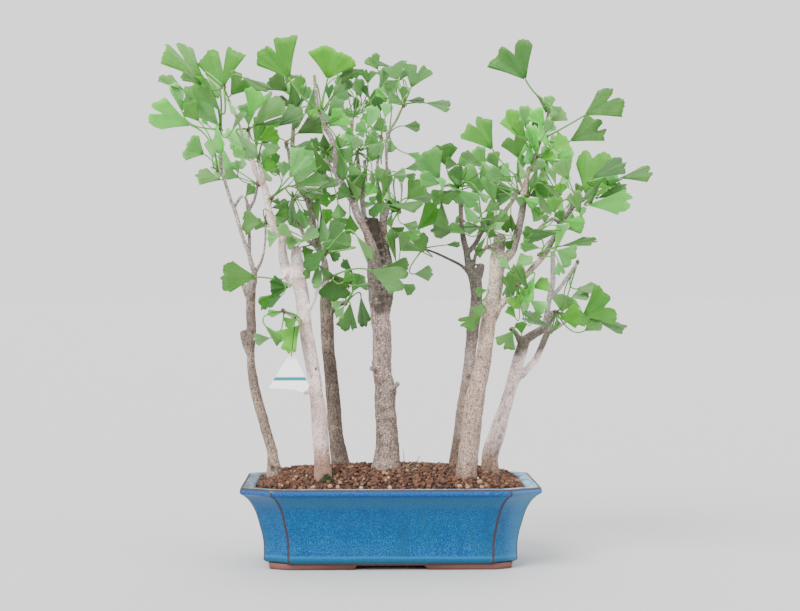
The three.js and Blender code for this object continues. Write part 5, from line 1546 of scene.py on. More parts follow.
@dataclass
class Soil:
    """Brown grains heaped in the pot, with pale pebbles, a tuft of moss and dry wisps."""

    edge: float = 79.5
    rise: float = 17.0
    tilt: float = 5.0
    shoulder: float = 26.0
    side_fall: float = 0.55
    pitch: float = 4.5
    seed: int = 71
    grain_radii: Pair = (1.9, 3)
    pebble_radii: Pair = (2, 3.2)
    pebble_count: int = 34
    moss_count: int = 420
    moss_reach: float = 6.6
    # How far grains keep from the rim's edge and from a trunk.
    wall_gap: float = 16.4
    trunk_gap: float = 0.6
    # Pale stones along the front: u, v, depth, radius.
    stones: tuple[tuple[float, float, float, float], ...] = (
        (313, 487, -76, 3.4), (330, 485, -74, 3.6), (338, 487, -76, 3), (340, 480, -66, 3),
        (361, 488, -77, 3), (390, 488, -77, 3.2), (460, 485, -74, 3.4), (468, 486, -76, 3.4),
        (482, 485, -75, 3), (480, 475, -62, 3.4),
    )
    browns: tuple[Colour, ...] = (
        (0.092, 0.035, 0.015), (0.065, 0.024, 0.011), (0.124, 0.049, 0.022), (0.083, 0.031, 0.014),
        (0.04, 0.016, 0.008), (0.156, 0.076, 0.04),
    )
    tan: Colour = (0.36, 0.21, 0.12)
    white: Colour = (0.42, 0.31, 0.23)

    def mound(self, x: Array, y: Array) -> Array:
        """Height of the heap.

        edge + (rise + tilt y / half) * (1 - e^(-wall / shoulder)) * (1 - side_fall (x / half)^2),
        where wall is the distance to the pot's wall.
        """
        half_x, half_y = Pot.length / 2, Pot.depth / 2 - Pot.rim_width
        wall = np.minimum(half_x - Pot.rim_width - np.abs(x), half_y - np.abs(y))
        heap = (self.rise + self.tilt * y / half_y) * (1 - np.exp(-np.maximum(wall, 0) / self.shoulder))
        return self.edge + heap * (1 - self.side_fall * (x / half_x) ** 2)

    def bed(self) -> Shell:
        """The closed body under the grains: the pot's plan shrunk ring by ring to its middle."""
        gap = Pot.rim_width + 0.6
        shares = np.r_[np.linspace(1, 0.04, 40), [0.012]]
        plan, _ = pot_plan(np.array([gap]), np.array([0.0]))
        flat = plan[0, :, :2][None] * shares[:, None, None]
        height = self.mound(flat[..., 0], flat[..., 1]) - 1.2
        top = np.concatenate([flat, height[..., None]], axis=2)
        grit = Grit(31)
        top[..., 2] += grit.at(top, 5) * 1.1
        sides, _ = pot_plan(np.array([80.0, 36.0, 28.6, 18.0]), np.array([15.4, 15.4, 30.0, 60.0]))
        low, high = np.array([0, 0, 15.4]), top[-1].mean(axis=0)
        return barrel(np.r_[sides, top], low, high)

    def scatter(self, rng: Random, trunks: list[tuple[Array, float]]) -> Array:
        """Places for grains on a shaken grid, inside the wall and clear of the trunks.

        Args:
            rng: Where the random numbers come from.
            trunks: Middle and radius of each trunk at the soil.

        Returns:
            Places, as x, y and height.
        """
        x, y = np.meshgrid(np.arange(-140, 141, self.pitch), np.arange(-85, 86, self.pitch * 0.87))
        x = x + self.pitch / 2 * (np.arange(len(x)) % 2)[:, None]
        flat = np.stack([x, y], axis=-1).reshape(-1, 2)
        flat = np.r_[flat, flat[::3] + self.pitch / 2]
        flat = flat + rng.uniform(-1, 1, flat.shape) * self.pitch * 0.36
        half_x, half_y = Pot.length / 2 - self.wall_gap, Pot.depth / 2 - self.wall_gap
        inside = (np.abs(flat[:, 0]) < half_x) & (np.abs(flat[:, 1]) < half_y)
        inside &= (half_x - np.abs(flat[:, 0])) / 27.5 + (half_y - np.abs(flat[:, 1])) / 17.2 > 1
        for middle, radius in trunks:
            inside &= norm(flat - middle[:2], axis=1) > radius + self.trunk_gap
        flat = flat[inside]
        level = self.mound(*flat.T) + rng.uniform(-0.9, 1.7, len(flat))
        return np.c_[flat, level]

    @staticmethod
    def lumps(places: Array, radii: Array, rng: Random, flatness: float) -> Shell:
        """Rough stones: each an icosahedron, squashed, dented and turned its own way.

        Args:
            places: Middle of each.
            radii: Radius of each.
            rng: Where the random numbers come from.
            flatness: How far each may be squashed.

        Returns:
            All of them as one surface.
        """
        g = (1 + math.sqrt(5)) / 2
        corners = [np.roll((a, b, 0), k) for k in range(3) for b in (g, -g) for a in (-1, 1)]
        corners = unit(np.array(corners))
        faces = np.array([
            (0, 11, 5), (0, 5, 1), (0, 1, 7), (0, 7, 10), (0, 10, 11), (1, 5, 9), (5, 11, 4),
            (11, 10, 2), (10, 7, 6), (7, 1, 8), (3, 9, 4), (3, 4, 2), (3, 2, 6), (3, 6, 8),
            (3, 8, 9), (4, 9, 5), (2, 4, 11), (6, 2, 10), (8, 6, 7), (9, 8, 1),
        ])
        count = len(places)
        squash = 1 - flatness * rng.random((count, 1, 3))
        dents = 1 + rng.uniform(-0.17, 0.17, (count, 12, 1))
        w, x, y, z = unit(rng.normal(size=(count, 4))).T
        turned = np.stack([
            1 - 2 * (y * y + z * z), 2 * (x * y - z * w), 2 * (x * z + y * w),
            2 * (x * y + z * w), 1 - 2 * (x * x + z * z), 2 * (y * z - x * w),
            2 * (x * z - y * w), 2 * (y * z + x * w), 1 - 2 * (x * x + y * y),
        ], axis=-1).reshape(count, 3, 3)
        shape = corners[None] * squash * dents * radii[:, None, None]
        points = np.einsum("nij,nkj->nki", turned, shape) + places[:, None]
        tris = faces[None] + 12 * np.arange(count)[:, None, None]
        return Shell(points.reshape(-1, 3), tris=tris.reshape(-1, 3))

    def moss(self, rng: Random) -> Shell:
        """Moss at the second trunk's foot: fine three-sided spikes that lean outwards."""
        middle = ELEVATION.place(326.5, 475, -57)
        count = self.moss_count
        angle = rng.uniform(0, 2 * math.pi, count)
        reach = np.sqrt(rng.random(count)) * self.moss_reach
        foot = np.c_[np.cos(angle) * reach, np.sin(angle) * reach * 0.8, np.zeros(count)]
        lean = unit(foot * 0.14 + [0, 0, 1] + rng.normal(0, 0.35, (count, 3)))
        root = foot + middle
        swell = 8.5 * np.exp(-((reach / 4.6) ** 2)) * rng.uniform(0.2, 1, count)
        root[:, 2] = self.mound(root[:, 0], root[:, 1]) + 0.2 + swell
        tip = root + lean * rng.uniform(2, 3.6, (count, 1))
        turn = turns(3)
        round_ = np.c_[np.cos(turn), np.sin(turn), np.zeros(3)] * 0.45
        points = np.concatenate([root[:, None] + round_, tip[:, None]], axis=1)
        faces = np.array([(0, 2, 1), (0, 1, 3), (1, 2, 3), (2, 0, 3)])
        tris = faces[None] + 4 * np.arange(count)[:, None, None]
        shade = rng.uniform(0.6, 1.3, (count, 1)) * [0.042, 0.062, 0.02]
        shell = Shell(points.reshape(-1, 3), tris=tris.reshape(-1, 3))
        return shell.carrying(tint=np.repeat(shade, 4, axis=0))

    def wisps(self) -> Shell:
        """A few dry roots and stalks that arch out of the grains beside the fourth trunk."""
        routes = np.array([
            (402, 473, -6, 404, 462, -4, 403, 450, -2), (404, 474, -12, 410, 464, -14, 419, 461, -16),
            (407, 474, -8, 414, 466, -6, 420, 456, -4), (399, 473, -14, 405, 466, -16, 412, 472, -18),
            (408, 475, -20, 415, 469, -20, 424, 474, -22), (455, 474, -48, 449, 466, -50, 446, 470, -52),
            (492, 478, -40, 497, 470, -42, 505, 476, -44),
        ]).reshape(-1, 3, 3)
        shells = []
        for number, route in enumerate(routes):
            path = smooth_line(ELEVATION.place(*route.T), 6)
            shell = tube(path, np.linspace(0.7, 0.3, len(path)), 6, np.array([0, 1.0, 0.1]))
            tint = ((0.13, 0.085, 0.055), (0.27, 0.21, 0.14), (0.07, 0.05, 0.035))[number % 3]
            shells.append(shell.carrying(tint=tint))
        return Shell.joined(shells)

    def build(self, trunks: list[tuple[Array, float]]) -> None:
        """Makes the bed, its grains, the pebbles, the moss and the wisps.

        Args:
            trunks: Middle and radius of each trunk.
        """
        rng = np.random.default_rng(self.seed)
        # Painted shade: the bed under the grains takes the darkest brown, for the gaps between them.
        bed = self.bed().carrying(tint=self.browns[4])
        places = self.scatter(rng, trunks)
        radii = rng.uniform(*self.grain_radii, len(places))
        grains = self.lumps(places, radii, rng, 0.35)
        shade = np.array(self.browns)[rng.integers(0, len(self.browns), len(places))]
        # Painted shade: grains that lie lower in the heap are darker, as shade falls between grains.
        sunk = np.clip((places[:, 2] - self.mound(*places[:, :2].T) + 0.9) / 2.4, 0, 1)
        shade = shade * rng.uniform(0.75, 1.3, (len(places), 1)) * (0.4 + 0.78 * sunk[:, None])
        grains.carrying(tint=np.repeat(shade, 12, axis=0))
        finish = Grain("fired_clay_grains").material()
        add_piece(fill_mesh("soil_bed", bed), finish, ("soil",))
        add_piece(fill_mesh("soil_grains", grains, False), finish)
        stones = np.array(self.stones)
        spots = ELEVATION.place(*stones[:, :3].T)
        count = self.pebble_count
        extra = np.c_[rng.uniform(-120, 120, count), rng.uniform(-74, 78, count), np.zeros(count)]
        places = np.r_[spots, extra]
        radii = np.r_[stones[:, 3] * 1.12, rng.uniform(*self.pebble_radii, count)]
        places[:, 2] = self.mound(places[:, 0], places[:, 1]) + 2
        pebbles = self.lumps(places, radii, rng, 0.25)
        pale = np.where(rng.random((len(places), 1)) < 0.14, self.white, self.tan)
        pale = pale * rng.uniform(0.7, 1.1, (len(places), 1))
        pebbles.carrying(tint=np.repeat(pale, 12, axis=0))
        mesh = worked(fill_mesh("pebbles", pebbles), [("SUBSURF", {"levels": 1, "render_levels": 1})])
        add_piece(mesh, Grain("pumice", 0.85, (0.11, 0.07, 0.045), 0.15).material())
        moss = Grain("moss", 0.8, (0.02, 0.04, 0.01), 0)
        straw = Grain("straw", 0.7, (0.08, 0.05, 0.03), 0.1)
        add_piece(fill_mesh("moss_tuft", self.moss(rng)), moss.material())
        add_piece(fill_mesh("dry_wisps", self.wisps()), straw.material())


# ---- trees


@dataclass
class Stem:
    """One stem: points down its middle and its radius at each, in millimetres."""

    path: Array
    radii: Array

    @staticmethod
    def drawn(numbers: list[float], root_depth: float = 0.0) -> Stem:
        """Reads a stem off the elevation; its depth runs evenly along its drawn length.

        Args:
            numbers: Depth at its start and end, then u, v and width of each ring.
            root_depth: How far it goes on down into the soil.

        Returns:
            The stem.
        """
        marks = np.array(numbers[2:], float).reshape(-1, 3)
        run = np.r_[[0], np.cumsum(norm(np.diff(marks[:, :2], axis=0), axis=1))]
        depth = numbers[0] + (numbers[1] - numbers[0]) * run / run[-1]
        path = ELEVATION.place(marks[:, 0], marks[:, 1], depth)
        radii = marks[:, 2] / 2 * ELEVATION.step(depth)
        if root_depth:
            path = np.r_[path[:1] - [0, 0, root_depth], path]
            radii = np.r_[radii[:1] * 1.1, radii]
        return Stem(path, radii)

    def shell(self, swelling: float) -> Shell:
        """The stem as a smooth tube, a little swollen to make up for later smoothing."""
        line = smooth_line(np.c_[self.path, self.radii], 5)
        overall = unit(line[-1, :3] - line[0, :3])
        reference = np.eye(3)[np.argmin(np.abs(overall))]
        return tube(line[:, :3], line[:, 3] + swelling, 20, reference)

    def probes(self) -> Array:
        """Points every few millimetres down its middle, each with the radius there."""
        line = np.c_[self.path, self.radii]
        parts = max(2, int(np.ceil(norm(np.diff(self.path, axis=0), axis=1).max() / 4)))
        t = np.linspace(0, 1, parts, endpoint=False)[None, :, None]
        between = line[:-1, None] + (line[1:] - line[:-1])[:, None] * t
        return np.r_[between.reshape(-1, 4), line[-1:]]


@dataclass
class Tree:
    """One trunk with its branches, and the bark on them."""

    name: str
    bark: Bark
    stems: Rows
    marks: Rows
    # Numbers of the stems that end in a saw cut.
    cuts: list[int]
    relief: float
    green_above: float = 430.0
    root_depth: float = 22.0
    voxel: float = 0.00105
    swelling: float = 0.22

    def foot(self) -> tuple[Array, float]:
        """Middle and radius of the trunk at the soil."""
        trunk = Stem.drawn(self.stems[0])
        return trunk.path[0], float(trunk.radii[0])

    def build(self) -> None:
        """Fuses the stems into one skin, roughens it, and dresses it in bark."""
        stems = [Stem.drawn(row, 0 if k else self.root_depth) for k, row in enumerate(self.stems)]
        rough = Shell.joined([stem.shell(self.swelling) for stem in stems])
        mesh = worked(
            fill_mesh(self.name + "_bark", rough),
            [
                ("REMESH", {"mode": "VOXEL", "voxel_size": self.voxel, "use_smooth_shade": True}),
                ("SMOOTH", {"factor": 0.6, "iterations": 3}),
            ],
        )
        self._carve(mesh, np.concatenate([stem.probes() for stem in stems]), stems)
        add_piece(mesh, self.bark.material(), (self.name,))

    def _carve(self, mesh: Mesh, probes: Array, stems: list[Stem]) -> None:
        """Moves the skin along its normals by plates, cracks, rings, lumps and marks.

        Each point moves by thick * (0.45 plates + 0.65 cracks + 0.3 rings + 0.55 lumps), where
        thick is relief times a share of the nearest stem's radius, and by
        stand * (1 - (away / reach)^2) within reach of each mark.

        Args:
            mesh: The fused skin.
            probes: Points down the stems with their radii.
            stems: The stems, whose thick ends are saw cuts.
        """
        count = len(mesh.vertices)
        flat = np.empty(count * 3, np.float32)
        mesh.vertices.foreach_get("co", flat)
        points = flat.reshape(-1, 3).astype(float) * 1000 - SHIFT
        mesh.vertices.foreach_get("normal", flat)
        normals = flat.reshape(-1, 3).astype(float).copy()
        nearest = np.concatenate([
            np.argmin(((part[:, None] - probes[None, :, :3]) ** 2).sum(axis=2) - probes[:, 3] ** 2, axis=1)
            for part in np.array_split(points, max(1, count // 4000))
        ])
        radius = probes[nearest, 3]
        grit = Grit(sum(map(ord, self.name)))
        plates = grit.at(points, (2.1, 2.1, 7.5))
        cracks = -np.clip(0.16 - np.abs(grit.at(points + 300, (2.6, 2.6, 9))), 0, 1) / 0.16
        rings = grit.at(points, (9, 9, 1.7))
        lumps = grit.at(points, 7) + 0.8 * grit.at(points + 90, 14)
        thick = np.clip(radius * 0.075, 0.05, 0.62) * self.relief
        push = thick * (0.45 * plates + 0.65 * cracks + 0.3 * rings + 0.55 * lumps)
        scar = np.zeros(count)
        for u, v, reach, stand, dark in self.marks:
            centre = ELEVATION.place(u, v, self._depth_at(probes, u, v))
            away = norm((points - centre) / [1, 1.3, 1], axis=1)
            near = np.clip(1 - (away / reach) ** 2, 0, 1)
            push = push + stand * near
            # A mark's darkness: scar colour, and painted shade where the mark is a hollow.
            scar = np.maximum(scar, dark * np.clip(near * 1.6, 0, 1))
        for stem in (stems[number] for number in self.cuts):
            along = unit(stem.path[-1] - stem.path[-2])
            beyond = (points - stem.path[-1]) @ along
            close = norm(points - stem.path[-1], axis=1) < stem.radii[-1] + 1.2
            scar = np.maximum(scar, close * np.clip((beyond + 0.5) / 0.8, 0, 1) * 0.85)
        green = np.clip((points[:, 2] - self.green_above) / 25, 0, 1) * (radius < 1.6)
        soft = (0.45 * plates + 0.65 * cracks + 0.3 * rings) * np.clip(radius / 6, 0.25, 1)
        points = points + normals * push[:, None]
        mesh.vertices.foreach_set("co", metres(points).ravel())
        for key, value in {"relief": soft, "scar": scar, "green": green * 0.85}.items():
            mesh.attributes.new(key, "FLOAT", "POINT").data.foreach_set("value", value)
        mesh.update()

    @staticmethod
    def _depth_at(probes: Array, u: float, v: float) -> float:
        """Depth of the front of the bark at a point of the elevation."""
        seen = ELEVATION.place(u, v, probes[:, 1])
        off = norm((seen - probes[:, :3])[:, [0, 2]], axis=1)
        best = np.argmin(off - probes[:, 3])
        sideways = min(off[best], probes[best, 3])
        return float(probes[best, 1] - math.sqrt(max(probes[best, 3] ** 2 - sideways**2, 0)))


# ---- leaves


def drawn_numbers(state: int) -> Iterator[float]:
    """Numbers from 0 to 1 by the Park-Miller rule, state * 48271 mod 2^31 - 1."""
    while True:
        state = state * 48271 % (2**31 - 1)
        yield state / (2**31 - 1)


class Tone(Enum):
    """Colours of leaves, by age and by how the light meets them, from dark to pale."""

    INK = (0.021, 0.076, 0.002)
    DEEP = (0.023, 0.103, 0.012)
    DARK = (0.042, 0.139, 0.015)
    SHADE = (0.062, 0.176, 0.038)
    OLIVE = (0.07, 0.247, 0.026)
    DULL = (0.104, 0.249, 0.059)
    PLAIN = (0.135, 0.373, 0.089)
    FRESH = (0.109, 0.386, 0.028)
    SPRING = (0.198, 0.428, 0.149)
    LIGHT = (0.162, 0.657, 0.092)
    BRIGHT = (0.252, 0.719, 0.194)
    PALE = (0.34, 0.72, 0.24)


@dataclass
class Blade:
    """One leaf: a fan on a thin stalk, as it lies in space."""

    base: Array
    along: Array
    across: Array
    normal: Array
    length: float
    half_width: float
    notch: float
    spur: Array
    shape: list[float]
    tone: Tone
    fan_ratio: float = 1.35
    fan_angle: float = 0.82
    most_turn: float = 1.2
    fullness: float = 1.05

    @staticmethod
    def seen(look: list[float], spur: Array, shape: list[float]) -> Blade:
        """Works out how a leaf lies from how it looks on the elevation.

        A leaf seen narrower than a fan laid flat is turned about its middle line by
        acos(seen / full), and one seen shorter is tipped from the eye by the same rule.

        Args:
            look: A row of TUFTS.
            spur: Middle of the bud it grows from.
            shape: Its drawn numbers.

        Returns:
            The leaf.
        """
        base_u, base_v, tip_u, tip_v, width, notch, depth, tone, *other_way = look
        sign = -1 if other_way else 1
        step = ELEVATION.step(depth)
        run = math.hypot(tip_u - base_u, tip_v - base_v)
        seen_length, seen_width = run * step, width * step
        length, full_width, pitch, roll = seen_length, Blade.fan_ratio * seen_length, 0, 0
        if seen_width > full_width:
            length = min(seen_width / Blade.fan_ratio, seen_length * 2)
            full_width = seen_width
            pitch = sign * math.acos(seen_length / length)
        else:
            turn = min(math.acos(seen_width / full_width), Blade.most_turn)
            full_width = seen_width / math.cos(turn)
            roll = sign * turn
        flat = np.array([(tip_u - base_u) / run, 0, (base_v - tip_v) / run])
        along = flat * math.cos(pitch) + BACK * math.sin(pitch)
        side = np.cross(flat, BACK)
        across = side * math.cos(roll) + np.cross(along, side) * math.sin(roll)
        base = ELEVATION.place(base_u, base_v, depth)
        normal = np.cross(along, across)
        green = list(Tone)[int(tone)]
        return Blade(base, along, across, normal, length, full_width / 2, notch, spur, shape, green)

    def surface(self, side: Array, out: Array) -> Array:
        """The middle of the blade as a function of two parameters.

        edge = length fullness (0.97 + 0.07 side^2 - 0.03 side^8) wave (1 - slit), where slit is
        notch times e^(-((side - slit_side) / 0.13)^2) and wave adds waves and teeth. The point is
        edge * out along the ray that leaves the base at fan_angle * side, drawn in where the
        sides are hollow, and lifted by length (cup side^2 + lean + ripple) out^1.25.

        Args:
            side: From -1 to 1 across the fan.
            out: From 0 at the stalk to 1 at the edge.

        Returns:
            Points in millimetres.
        """
        slit_side, depth, waves, ripples, phase, cup, lean = self.shape
        phase = 6.28 * phase
        slit_side = (slit_side - 0.5) * 0.36
        slit = self.notch * np.exp(-(((side - slit_side) / 0.13) ** 2))
        waves = 6 + 5 * waves
        teeth = 0.013 * np.sin(side * (31 + 9 * depth) + phase) + 0.01 * np.sin(side * 53 + 2 * phase)
        wave = 1 + (0.02 + 0.03 * depth) * np.sin(waves * side + phase) + teeth
        edge = self.length * self.fullness * (0.97 + 0.07 * side**2 - 0.03 * side**8) * wave * (1 - slit)
        turn = self.fan_angle * side
        hollow = 1 - 0.07 * np.sin(math.pi * np.minimum(out * 1.15, 1)) * side**2
        forward = edge * out * np.cos(turn)
        reach = self.length * 1.04 * math.sin(self.fan_angle)
        sideways = edge * out * np.sin(turn) / reach * self.half_width * hollow
        ripples = 4 + 4 * ripples
        ripple = 0.035 * np.sin(ripples * side + phase) + 0.014 * np.sin(17 * side - phase) * out
        lift = self.length * ((-0.16 + 0.34 * cup) * side**2 + (-0.12 + 0.2 * lean) + ripple) * out**1.25
        parts = zip((forward, sideways, lift), (self.along, self.across, self.normal))
        return self.base + sum(amount[..., None] * way for amount, way in parts)

    def fan(self, rays: int, rows: int, thickness: float) -> Shell:
        """The blade as a thin closed skin, thinner towards its edge.

        Args:
            rays: Points across.
            rows: Points from the stalk to the edge.
            thickness: Its thickness in millimetres at the stalk.

        Returns:
            The skin, with leaf_map, under, woody and tint.
        """
        side, out = np.meshgrid(np.linspace(-1, 1, rays), np.linspace(0.035, 1, rows) ** 0.85)
        middle = self.surface(side, out)
        run_out, run_side = np.gradient(middle, axis=(0, 1))
        normal = unit(np.cross(run_out, run_side))
        half = (thickness * (1 - 0.55 * out))[..., None] / 2
        upper, lower = middle + normal * half, middle - normal * half
        count = rays * rows
        faces = grid_faces(rows, rays, False)
        row, column = np.arange(rows) * rays, np.arange(rays)
        loop = np.r_[column, row[1:] + rays - 1, row[-1] + column[-2::-1], row[-2:0:-1]]
        after = np.roll(loop, -1)
        rim = np.stack([loop, loop + count, after + count, after], axis=-1)
        quads = np.r_[faces[:, ::-1], faces + count, rim[:, ::-1]]
        shell = Shell(np.r_[upper, lower].reshape(-1, 3), quads)
        flat = np.stack([side / 2 + 0.5, out], axis=-1).reshape(-1, 2)
        under = np.repeat([0.0, 1.0], count)
        return shell.carrying(leaf_map=np.tile(flat, (2, 1)), under=under, woody=0, tint=self.tone.value)

    def stalk(self) -> Shell:
        """The stalk, a quadratic Bezier from the bud that meets the blade in line."""
        reach = norm(self.base - self.spur)
        elbow = self.base - self.along * 0.45 * reach
        t = np.linspace(min(1.4 / max(reach, 1.5), 0.6), 1, 9)[:, None]
        path = bend(self.spur, elbow, self.base, t)
        path = np.r_[path, [self.base + self.along * self.length * 0.07]]
        stout = 0.52 + 0.012 * self.length
        radii = stout * np.array([1.35, 1.1, 1, 0.95, 0.92, 0.9, 0.9, 0.92, 0.95, 0.45])
        shell = tube(path, radii, 6, self.normal + 0.01 * self.across)
        green = np.array(self.tone.value) * 0.25 + np.array([0.12, 0.3, 0.05]) * 0.75
        leaf_map = np.tile([0.5, 0.01], (len(shell.points), 1))
        return shell.carrying(leaf_map=leaf_map, under=0, woody=0, tint=green)


@dataclass
class Tuft:
    """A bud with the leaves that grow from it."""

    name: str
    spur: Array
    blades: list[Blade]
    rays: int = 23
    rows: int = 6
    thickness: float = 0.5
    bud_radius: float = 2.3
    bud_length: float = 6.2

    def bud(self) -> Shell:
        """The spur bud: a short barrel of stacked scales.

        Its radius is bud_radius * sqrt(sin) of the way along, ridged by four rings of scales.
        """
        mean = unit(np.mean([unit(blade.base - self.spur) for blade in self.blades], axis=0) + [0, 0, 0.35])
        t = np.linspace(0, 1, 16)
        path = self.spur + mean * ((t - 0.55) * self.bud_length)[:, None]
        belly = np.sqrt(np.sin(math.pi * (0.06 + 0.88 * t)))
        radii = self.bud_radius * belly * (1 - 0.25 * t) * (1 + 0.09 * np.sin(t * 8 * math.pi))
        reference = np.eye(3)[np.argmin(np.abs(mean))]
        shell = tube(path, radii, 12, reference)
        leaf_map = np.tile([0.5, 0.01], (len(shell.points), 1))
        return shell.carrying(leaf_map=leaf_map, under=0, woody=1, tint=(0.2, 0.15, 0.08))

    def build(self, finish: Material) -> None:
        """Joins the bud, stalks and blades into the piece that stands for the tuft."""
        shells = [self.bud()]
        for blade in self.blades:
            shells += [blade.stalk(), blade.fan(self.rays, self.rows, self.thickness)]
        mesh = fill_mesh(self.name + "_leaves", Shell.joined(shells))
        add_piece(mesh, finish, (self.name,))


def read_tufts() -> list[Tuft]:
    """Reads the tufts, drawing seven numbers for the shape of each leaf.

    The outer leaves of all tufts come first, each after one more number and before two,
    which were drawn for how it lies. Then come the inner ones, each before two, and last
    the young ones.

    Returns:
        The tufts with their leaves.
    """
    numbers = drawn_numbers(2024)
    table = read_table(TUFTS)
    blades: dict[str, list[Blade]] = defaultdict(list)
    for kind, count, first in (("", 10, 1), ("i", 9, 0), ("y", 7, 0)):
        for name, rows in table.items():
            for look in rows[kind]:
                shape = list(islice(numbers, count))[first : first + 7]
                blades[name].append(Blade.seen(look, np.array(rows["head"]), shape))
    return [Tuft(name, np.array(rows["head"]), blades[name]) for name, rows in table.items()]


# ---- tag and thread


@dataclass
class Tag:
    """The paper tag: a sheet with a round eye, its thread, and the knots that hold them."""

    plane: float = -72.0
    middle_u: float = 290.0
    thick: float = 0.5
    outline: tuple[Pair, ...] = (
        (292, 350), (309.6, 386.4), (303, 393), (295, 389.6), (268.4, 388),
    )
    eye: Pair = (291.6, 355.4)
    eye_radius: float = 1.7
    corner: float = 1.3
    edge_points: int = 110
    # How strongly the sheet curls, as depth over the square of the distance.
    curl: float = 0.0022
    stripe: Pair = (377, 380.5)
    thread_radius: float = 0.4
    # The thread from the left spur of the second tree to the eye: u, v, depth.
    route: tuple[Point, ...] = (
        (294.2, 319.4, -54.6), (294.3, 319.9, -57), (294.3, 320.2, -59.6), (294.5, 321.6, -62),
        (294.6, 324, -65), (294.5, 327.6, -68), (294.1, 332, -70.4), (293.5, 337, -72),
        (292.9, 342, -73), (292.3, 347, -73.4), (291.9, 351, -73.6), (291.6, 355.2, -73.6),
    )

    def edge(self) -> Array:
        """The outline with rounded corners, as elevation points spread evenly round the eye."""
        marks = np.array(self.outline)
        before = marks + unit(np.roll(marks, 1, axis=0) - marks) * self.corner
        after = marks + unit(np.roll(marks, -1, axis=0) - marks) * self.corner
        t = np.linspace(0, 1, 7)[:, None]
        line = bend(before[:, None], marks[:, None], after[:, None], t).reshape(-1, 2)
        line = np.r_[line, line[:1]]
        angle = np.unwrap(np.arctan2(line[:, 1] - self.eye[1], line[:, 0] - self.eye[0]))
        wanted = np.linspace(angle[0], angle[0] + 2 * math.pi, self.edge_points, endpoint=False)
        return np.column_stack([np.interp(wanted, angle, line[:, k]) for k in range(2)])

    def sheet(self) -> Shell:
        """The paper: circle and outline joined by straight rays, front and back.

        A point is eye + (1 - s) * radius * ray + s * (edge - eye), and the sheet curls
        towards the viewer by curl times the square of its distance from the middle line.
        """
        edge = self.edge()
        eye = np.array(self.eye)
        ray = unit(edge - eye)
        s = np.linspace(0, 1, 12)[:, None, None]
        flat = eye + (1 - s) * self.eye_radius * ray + s * (edge - eye)
        curl = -self.curl * (flat[..., 0] - self.middle_u) ** 2
        half = np.array([-self.thick / 2, self.thick / 2])[:, None, None]
        front, back = ELEVATION.place(flat[..., 0], flat[..., 1], self.plane + curl + half)
        rows = np.r_[front, back[::-1]]
        count = rows.shape[0] * rows.shape[1]
        quads = grid_faces(rows.shape[0] + 1, rows.shape[1], True) % count
        return Shell(rows.reshape(-1, 3), quads[:, ::-1])

    @staticmethod
    def hoop(centre: Array, axis: Array, radius: float, thick: float) -> Shell:
        """A ring: centre + (radius + thick cos(roll)) * spoke + thick sin(roll) * axis.

        Args:
            centre: Its middle.
            axis: The way it faces.
            radius: Radius of its middle line.
            thick: Radius of the tube.

        Returns:
            The ring.
        """
        across = unit(np.cross(axis, [0.3, 0.2, 1]))
        up = np.cross(axis, across)
        turn, roll = (angle[..., None] for angle in np.meshgrid(turns(28), turns(8), indexing="ij"))
        spoke = np.cos(turn) * across + np.sin(turn) * up
        points = centre + spoke * (radius + thick * np.cos(roll)) + axis * (thick * np.sin(roll))
        quads = grid_faces(29, 8, True) % (28 * 8)
        return Shell(points.reshape(-1, 3), quads)

    def build(self) -> None:
        high, low = (float(metres(ELEVATION.place(self.middle_u, v, self.plane))[2]) for v in self.stripe)
        paper = TagPaper(low, high).material()
        tag = add_piece(fill_mesh("paper_tag", self.sheet(), False), paper, ("tag",))
        eye = ELEVATION.place(*self.eye, self.plane)
        clear = Plain("eyelet_plastic", (0.62, 0.66, 0.7), (0.72, 0.75, 0.78), 500, 0.2, 0.0001)
        radius = self.eye_radius + 0.35
        rings = [self.hoop(eye + BACK * shift, BACK, radius, 0.42) for shift in (-0.2, 0.2)]
        eyelet = add_piece(fill_mesh("tag_eyelet", Shell.joined(rings)), clear.material())
        path = smooth_line(ELEVATION.place(*np.array(self.route).T), 3)
        dark, light = (0.012, 0.012, 0.014), (0.035, 0.035, 0.04)
        black = Plain("twisted_thread", dark, light, 2400, 0.7, 0.0003).material()
        shell = tube(path, np.full(len(path), self.thread_radius), 10, RIGHT)
        thread = add_piece(fill_mesh("tag_thread", shell), black, ("tag_string",))
        twig = ELEVATION.place(294, 317, -53.5)
        twig_way = unit(ELEVATION.place(285, 312, -62) - twig)
        wraps = [self.hoop(twig + twig_way * shift, twig_way, 2.35, 0.4) for shift in (-0.45, 0.4)]
        tie = add_piece(fill_mesh("thread_knot", Shell.joined(wraps)), black)
        through = self.hoop(eye + [0, -1, 1.6], RIGHT, 1.9, 0.36)
        loop = add_piece(fill_mesh("thread_loop", through), black)
        route = metres(path)
        length = float(norm(np.diff(route, axis=0), axis=1).sum())
        tuple(route[0])


# ---- studio


